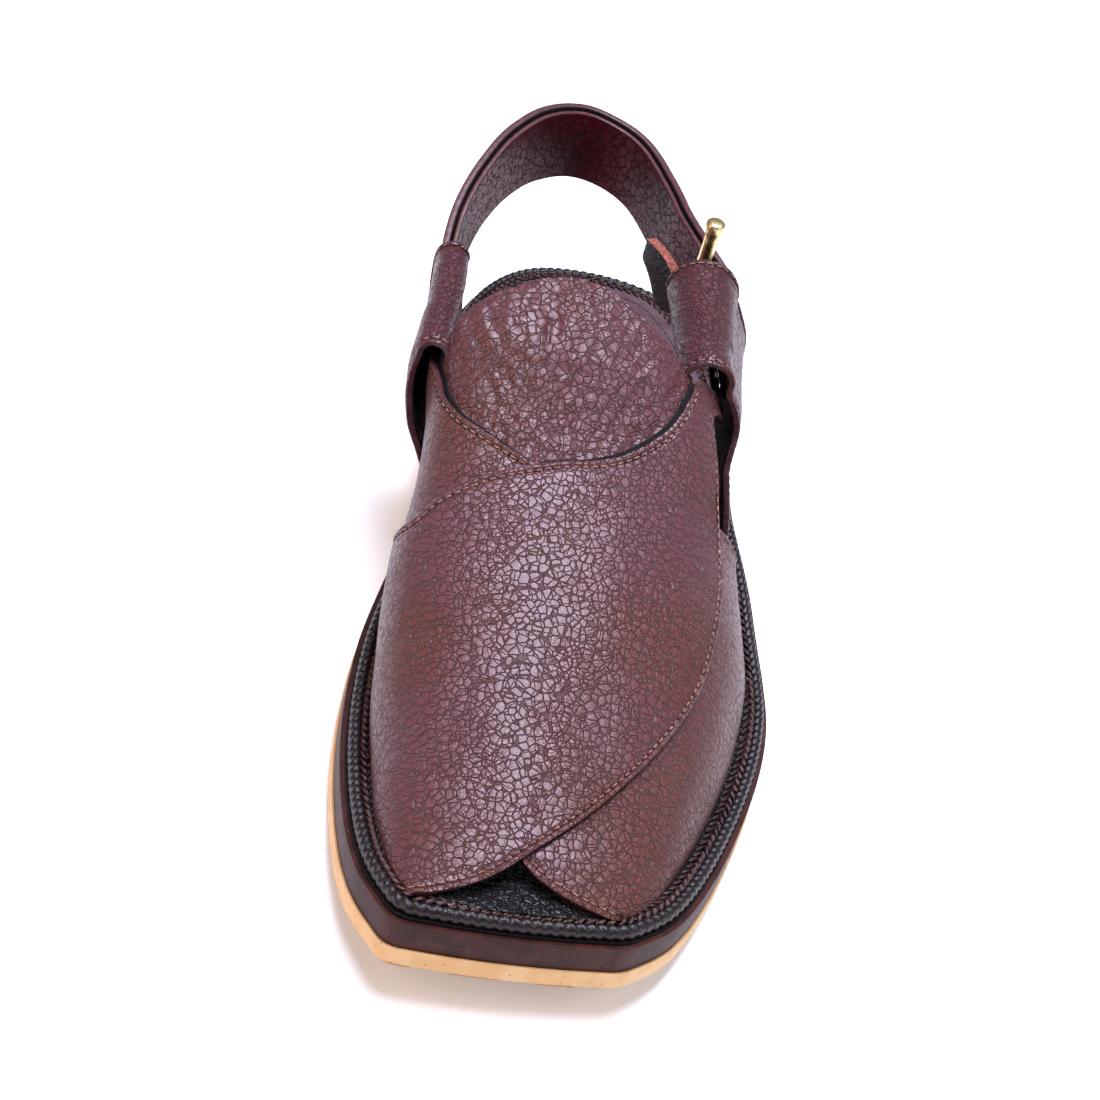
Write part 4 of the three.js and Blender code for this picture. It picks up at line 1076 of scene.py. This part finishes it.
def strap_edge_line(table, drop, v_edge, inset_mm, from_u=0.0, to_u=1.0, count=240):
    """A line on a strap's outer face, beside its toe edge (v = 0) or its throat edge (v = 1)."""
    u = np.linspace(from_u, to_u, count)
    start = last_point(*strap_spot(table, u, v_edge))
    inner_v = 0.05 if v_edge == 0 else 0.95
    width = np.linalg.norm(last_point(*strap_spot(table, u, inner_v)) - start, axis=1)
    v = v_edge + (inner_v - v_edge) * np.clip(inset_mm / np.maximum(width, 0.5), 0, 3)
    y, turn = strap_spot(table, u, v)
    normals = last_normal(y, turn)
    return last_point(y, turn) + normals * (-drop), normals


def band_line(name, u_edge, inset_share, from_v, to_v, count=160):
    """A line on a band's outer face, beside its front edge (0) or its rear edge (1)."""
    band = BANDS[name]
    place = band_place(band)
    v = np.linspace(from_v, to_v, count)
    u = np.full(count, abs(u_edge - inset_share))
    square = sheet_normal(place, u, v, 0.003, band["side"])
    return place(u, v) + square * (BAND_WALL / 2 + 0.1), square


THREAD = bead_mesh(1.75, 0.5, 0.42)
HOLE = bead_mesh(0.55, 0.55, 0.36)
upper_lines = [
    strap_edge_line(OVER_STRAP, 0.15, 0, 2.0, 0.03, 0.8),
    strap_edge_line(OVER_STRAP, 0.15, 1, 1.8, 0.10, 0.8),
    strap_edge_line(UNDER_STRAP, OVERLAY_RISE + 0.2, 0, 2.0, 0.04, 0.36),
    strap_edge_line(UNDER_STRAP, OVERLAY_RISE + 0.2, 1, 1.8, 0.44, 0.9),
    band_line("medial", 0.0, 0.036, 0.12, 0.74),
    band_line("medial", 1.0, 0.036, 0.12, 0.74),
    band_line("lateral", 0.0, 0.034, 0.12, 0.74),
    band_line("lateral", 1.0, 0.034, 0.12, 0.74),
]
thread_places, hole_places = [], []
for line, normals in upper_lines:
    placed = stitch_places(line, normals, STITCH_PITCH, 0.12)
    thread_places.extend(placed)
    hole_places.extend([(p + r / np.linalg.norm(r) * STITCH_PITCH / 2 - n * 0.12, r, n) for p, r, n in placed])
upper_thread = scatter("upper_stitches", *THREAD, thread_places, tan_thread)
upper_holes = scatter("upper_stitch_holes", *HOLE, hole_places, hole_finish)


def chain_row(name, inset, pitch, level, made, spread, length):
    """A plaited row of stitches: pairs of beads that lean together into a chain."""
    ring = loop_line(inset, 1400)
    perimeter = np.linalg.norm(np.diff(np.vstack([ring, ring[:1]]), axis=0), axis=1).sum()
    count = int(perimeter / pitch)
    line = loop_line(inset, count)
    inward, tangent = ring_frame(line)
    shape, faces = bead_mesh(length, 1.15, 1.3)
    places = []
    for k in range(count):
        z = level + bend(line[k][1])
        for side in (-1, 1):
            run = np.append(tangent[k] + side * inward[k] * 0.55, 0.0)
            seeds = [[k * 3.7, side * 9.0, 1.5], [k * 3.7, side * 9.0, 40.5]]
            stray = 0.3 * lumps(np.array(seeds), 1.3, 21.0)
            point = np.append(line[k] + inward[k] * (side * spread * 0.72 + stray[0]), z + stray[1])
            out = np.append(-inward[k] * 0.25, 1.0)
            places.append((point, run, out))
    return scatter(name, shape, faces, places, made)


UP = np.array([0.0, 0.0, 1.0])
chain = chain_row("rand_chain_stitch", CHAIN_STEP - 0.5, CHAIN_PITCH, FOOTBED_TOP + 0.2, welt_leather, 1.15, 3.3)

# Lock stitches lie askew over the cord's inner flank
cord_line = loop_line(RAND_STEP + CORD_WIDTH + 0.2, 250)
cord_inward, cord_tangent = ring_frame(cord_line)
cord_places = [
    (np.append(spot, MIDSOLE_TOP + 0.6 + RAND_HEIGHT + bend(spot[1])), np.append(along - 0.7 * across, -0.2), UP)
    for spot, along, across in zip(cord_line, cord_tangent, cord_inward)]
cord_thread = scatter("cord_lock_stitches", *bead_mesh(2.0, 0.75, 0.7), cord_places, lock_thread)

bed_line = loop_line(BED_STITCH_INSET, 260)
bed_places = [(np.append(spot, FOOTBED_TOP + 0.1 + bend(spot[1])), np.append(along, 0.0), UP)
              for spot, along in zip(bed_line, ring_frame(bed_line)[1]) if spot[1] > BED_STITCH_FROM]
bed_thread = scatter("footbed_stitches", *bead_mesh(2.0, 0.7, 0.5), bed_places, dark_thread)


# Tread: ringed discs, plain discs and six-sided bosses on a lattice, with short bars between them

def lathe(profile, sides):
    """A shape turned round the vertical from (radius, level) pairs, as points and faces."""
    points, faces = [], []
    for radius, level in profile:
        for k in range(sides):
            angle = 2 * math.pi * (k + 0.5) / sides
            points.append((radius * math.cos(angle), radius * math.sin(angle), level))
    points.append((0.0, 0.0, profile[0][1]))
    tip = len(points) - 1
    for k in range(sides):
        faces.append([tip, (k + 1) % sides, k])
    for ring in range(len(profile) - 1):
        for k in range(sides):
            a, b = ring * sides + k, ring * sides + (k + 1) % sides
            faces.append([a, b, b + sides, a + sides])
    return np.array(points), faces


RINGED = lathe([(3.5, 0.15), (3.9, 0.45), (4.0, 1.5), (4.9, 1.5), (5.0, 0.5), (5.3, 0.2), (5.9, 0.2),
                (6.2, 0.5), (6.3, 1.9)], 18)
PLAIN = lathe([(4.6, 0.0), (5.0, 0.3), (5.1, 1.3), (5.5, 1.3), (5.6, 0.7), (6.2, 0.7), (6.4, 1.9)], 18)
HEXED = lathe([(3.5, 0.1), (3.9, 0.4), (4.0, 1.4), (4.9, 1.4), (5.0, 0.6), (5.7, 0.6), (5.9, 1.9)], 6)
BAR = (np.array([(x, y, z) for z in (0.55, 1.9)
                 for x, y in ((-0.7, -2.6), (0.7, -2.6), (0.7, 2.6), (-0.7, 2.6))]),
       [[3, 2, 1, 0], [0, 1, 5, 4], [1, 2, 6, 5], [2, 3, 7, 6], [3, 0, 4, 7]])


def inside(edge, point):
    """Whether the point lies within a closed line."""
    x, y = point
    crossing = False
    for p, q in zip(edge, np.roll(edge, 1, axis=0)):
        if (p[1] > y) != (q[1] > y) and x < (q[0] - p[0]) * (y - p[1]) / (q[1] - p[1]) + p[0]:
            crossing = not crossing
    return crossing


def tread():
    """Studs wherever the lattice meets the sole, cut off at its rim; the rubber above closes them."""
    rim = loop_line(TREAD_MARGIN, 720)
    coarse = rim[::6]
    points, faces = [], []
    reach = 9

    def touches(x, y):
        return any(inside(coarse, (x + dx, y + dy)) for dx, dy in ((0, 0), (5, 0), (-5, 0), (0, 5), (0, -5)))

    def stamp(shape, x, y, turned=False):
        base = len(points)
        for p in shape[0]:
            px, py = (p[1], p[0]) if turned else (p[0], p[1])
            points.append((x + px, y + py, p[2]))
        faces.extend([[i + base for i in face] for face in shape[1]])
    for i in range(-reach, reach + 1):
        for j in range(-reach, reach + 1):
            x, y = (j + LATTICE_ACROSS) * TREAD_PITCH, (i + LATTICE_ALONG) * TREAD_PITCH
            if touches(x, y):
                stamp(RINGED if (i + j) % 2 == 0 else PLAIN, x, y)
            half = TREAD_PITCH / 2
            if touches(x + half, y + half):
                stamp(HEXED, x + half, y + half)
            for shift in (-2.6, 0, 2.6):
                if inside(coarse, (x + shift, y + half)):
                    stamp(BAR, x + shift, y + half)
                if inside(coarse, (x + half, y + shift)):
                    stamp(BAR, x + half, y + shift, True)
    points = np.array(points)
    outside = np.array([not inside(coarse, p[:2]) for p in points])
    for k in np.flatnonzero(outside):
        gap = np.linalg.norm(rim - points[k, :2], axis=1)
        points[k, :2] = rim[gap.argmin()]
    points[:, 2] += bend(points[:, 1])
    piece = new_piece("tread_pattern", points, faces)
    bm = bmesh.new()
    bm.from_mesh(piece.data)
    bmesh.ops.dissolve_degenerate(bm, dist=2e-5, edges=bm.edges)
    bm.to_mesh(piece.data)
    bm.free()
    edit_all(piece, outward)
    piece.data.materials.append(tread_rubber)
    smooth(piece, 30)
    return piece


tread_piece = tread()


# Buckle: a tall round bar with a capped end and a slimmer frame behind it

def rod(name, points, radius, sides=24):
    """A round bar swept along points, closed at both ends with a small round."""
    pts = np.array(points, float)
    run = unit(np.gradient(pts, axis=0))
    radii = np.broadcast_to(np.asarray(radius, float), len(pts))
    piece, u, v = new_grid(name, len(pts) - 1, sides)
    i = np.round(u * (len(pts) - 1)).astype(int)
    reference = np.array([0.35, 0.9, 0.2]) if abs(run[0][2]) > 0.7 else np.array([0.0, 0.0, 1.0])
    side = unit(np.cross(run, reference))
    other = np.cross(run, side)
    angle = v * 2 * math.pi
    co = pts[i] + (side[i] * np.cos(angle)[:, None] + other[i] * np.sin(angle)[:, None]) * radii[i][:, None]
    place_vertices(piece, co)
    edit_all(piece, weld, outward)
    piece.data.materials.append(brass)
    smooth(piece, 50)
    return piece


def buckle_pieces():
    """The bar stands upright against the strap; the frame leaves it low down, turns up and comes back."""
    wire = BUCKLE_WIRE / 2
    stand, aim = (heel_point(np.array([at]), np.array([0.5]))[0] for at in (BUCKLE_PLACE, BUCKLE_AIM))
    away = unit((aim - stand) * np.array([1, 1, 0]))
    square = np.array([away[1], -away[0], 0])
    if square[0] > 0:
        square = -square
    foot = stand + square * (HEEL_OUT + BUCKLE_GAP + wire)
    foot[2] = BUCKLE_LEVEL
    bar = rod("buckle_bar", [foot + UP * level for level, share in BAR_PROFILE],
              [wire * share for level, share in BAR_PROFILE])
    low, high = wire, BUCKLE_HEIGHT - BUCKLE_DROP - wire
    turns = np.linspace(0, math.pi / 2, 6)
    corner = foot + away * (BUCKLE_REACH - BUCKLE_CORNER)
    path = [foot + UP * low]
    path += [corner + away * BUCKLE_CORNER * math.sin(t) + UP * (low + BUCKLE_CORNER * (1 - math.cos(t)))
             for t in turns]
    path += [corner + away * BUCKLE_CORNER * math.cos(t) + UP * (high - BUCKLE_CORNER * (1 - math.sin(t)))
             for t in turns]
    path += [foot + UP * high]
    frame_bar = rod("buckle_frame", path, BUCKLE_FRAME_RADIUS)
    only(bar)
    frame_bar.select_set(True)
    bpy.ops.object.join()
    bar.name = bar.data.name = "buckle_brass_frame"
    return bar


buckle = buckle_pieces()


# Which body carries each piece, and which solids it stands for
hand_over(outsole, "tread_rubber", "outsole")
hand_over(tread_piece, "tread_rubber")
hand_over(midsole, "brown_board", "midsole")
hand_over(footbed, "footbed_leather", "insole")
hand_over(cord, "rand_leather", "rand")
hand_over(cord_shade_strip, "rand_leather")
hand_over(chain, "rand_leather")
hand_over(cord_thread, "rand_leather")
hand_over(bed_thread, "rand_leather")
hand_over(over_strap, "upper_leather", "upper")
hand_over(under_strap, "upper_leather", "upper")
hand_over(shade_strip_over, "upper_leather")
hand_over(shade_strip_under, "upper_leather")
hand_over(tongue, "upper_leather", "tongue")
hand_over(band_pieces["medial"], "upper_leather", "side_band_medial")
hand_over(band_pieces["lateral"], "upper_leather", "side_band_lateral")
hand_over(heel_outer, "upper_leather", "heel_strap")
hand_over(heel_inner, "upper_leather", "heel_strap")
hand_over(tail, "strap_leather", "strap_tail")
hand_over(upper_thread, "upper_leather")
hand_over(upper_holes, "upper_leather")
hand_over(buckle, "buckle_brass", "buckle")


# Floor, light and camera

def floor_finish():
    """Matt white paper over a light table, so its shadows stay soft and pale."""
    made, tree, shader = finish("white_paper", {"Roughness": 0.9, "Emission Color": shade("#ffffff"),
                                                "Emission Strength": 0.27})
    place = add(tree, "ShaderNodeTexCoord").outputs["Object"]
    colour = add(tree, "ShaderNodeMix", {"data_type": "RGBA", 6: shade("#f3f3f3"), 7: shade("#f6f6f6")},
                 {0: cloud(tree, place, 60, 4.0)})
    wire(tree, shader, {"Base Color": colour.outputs[2]})
    return made


deselect()
bpy.ops.mesh.primitive_plane_add(size=6, location=(0, 0, 0))
floor = bpy.context.object
floor.name = "floor"
floor.data.materials.append(floor_finish())


def soft_light(name, place, target, size, power, colour="#ffffff"):
    data = bpy.data.lights.new(name, "AREA")
    data.shape = "RECTANGLE"
    data.size, data.size_y = size
    data.energy = power
    data.color = shade(colour)[:3]
    lamp = bpy.data.objects.new(name, data)
    lamp.location = place
    lamp.rotation_euler = (Vector(target) - Vector(place)).to_track_quat("-Z", "Y").to_euler()
    bpy.context.scene.collection.objects.link(lamp)


soft_light("overhead_box", (0.05, 0.1, 1.1), (0, 0, 0), (0.42, 0.9), 24, "#e4e8ff")
soft_light("left_box", (-1.0, -0.5, 0.7), (0, 0, 0.03), (0.6, 0.9), 5, "#ffc9a4")
soft_light("right_box", (0.9, -0.4, 0.8), (0, 0, 0.03), (0.5, 0.8), 3)

world = bpy.data.worlds.new("studio")
bpy.context.scene.world = world
world.use_nodes = True
world.node_tree.nodes["Background"].inputs["Color"].default_value = shade("#fafbff")
world.node_tree.nodes["Background"].inputs["Strength"].default_value = 0.21

# Where the eye stands and where it looks; the camera is rolled by ROLL radians about that line
EYE = (Vector((-87.39, -554.22, 495.28)) + Vector(CENTRED)) * MM
AIM = Vector((0.111608, 0.757873, -0.642785))
ROLL = 0.29925
LENS = 88.0
level = AIM.cross(Vector((0, 0, 1))).normalized()
upright = level.cross(AIM)
right = level * math.cos(ROLL) + upright * math.sin(ROLL)
up = upright * math.cos(ROLL) - level * math.sin(ROLL)
turned = Matrix((right, up, -AIM)).transposed().to_4x4()
lens_data = bpy.data.cameras.new("camera")
lens_data.lens = LENS
lens_data.sensor_width = 36.0
camera = bpy.data.objects.new("camera", lens_data)
camera.matrix_world = Matrix.Translation(EYE) @ turned
bpy.context.scene.collection.objects.link(camera)
bpy.context.scene.camera = camera
bpy.context.scene.view_settings.view_transform = "Standard"
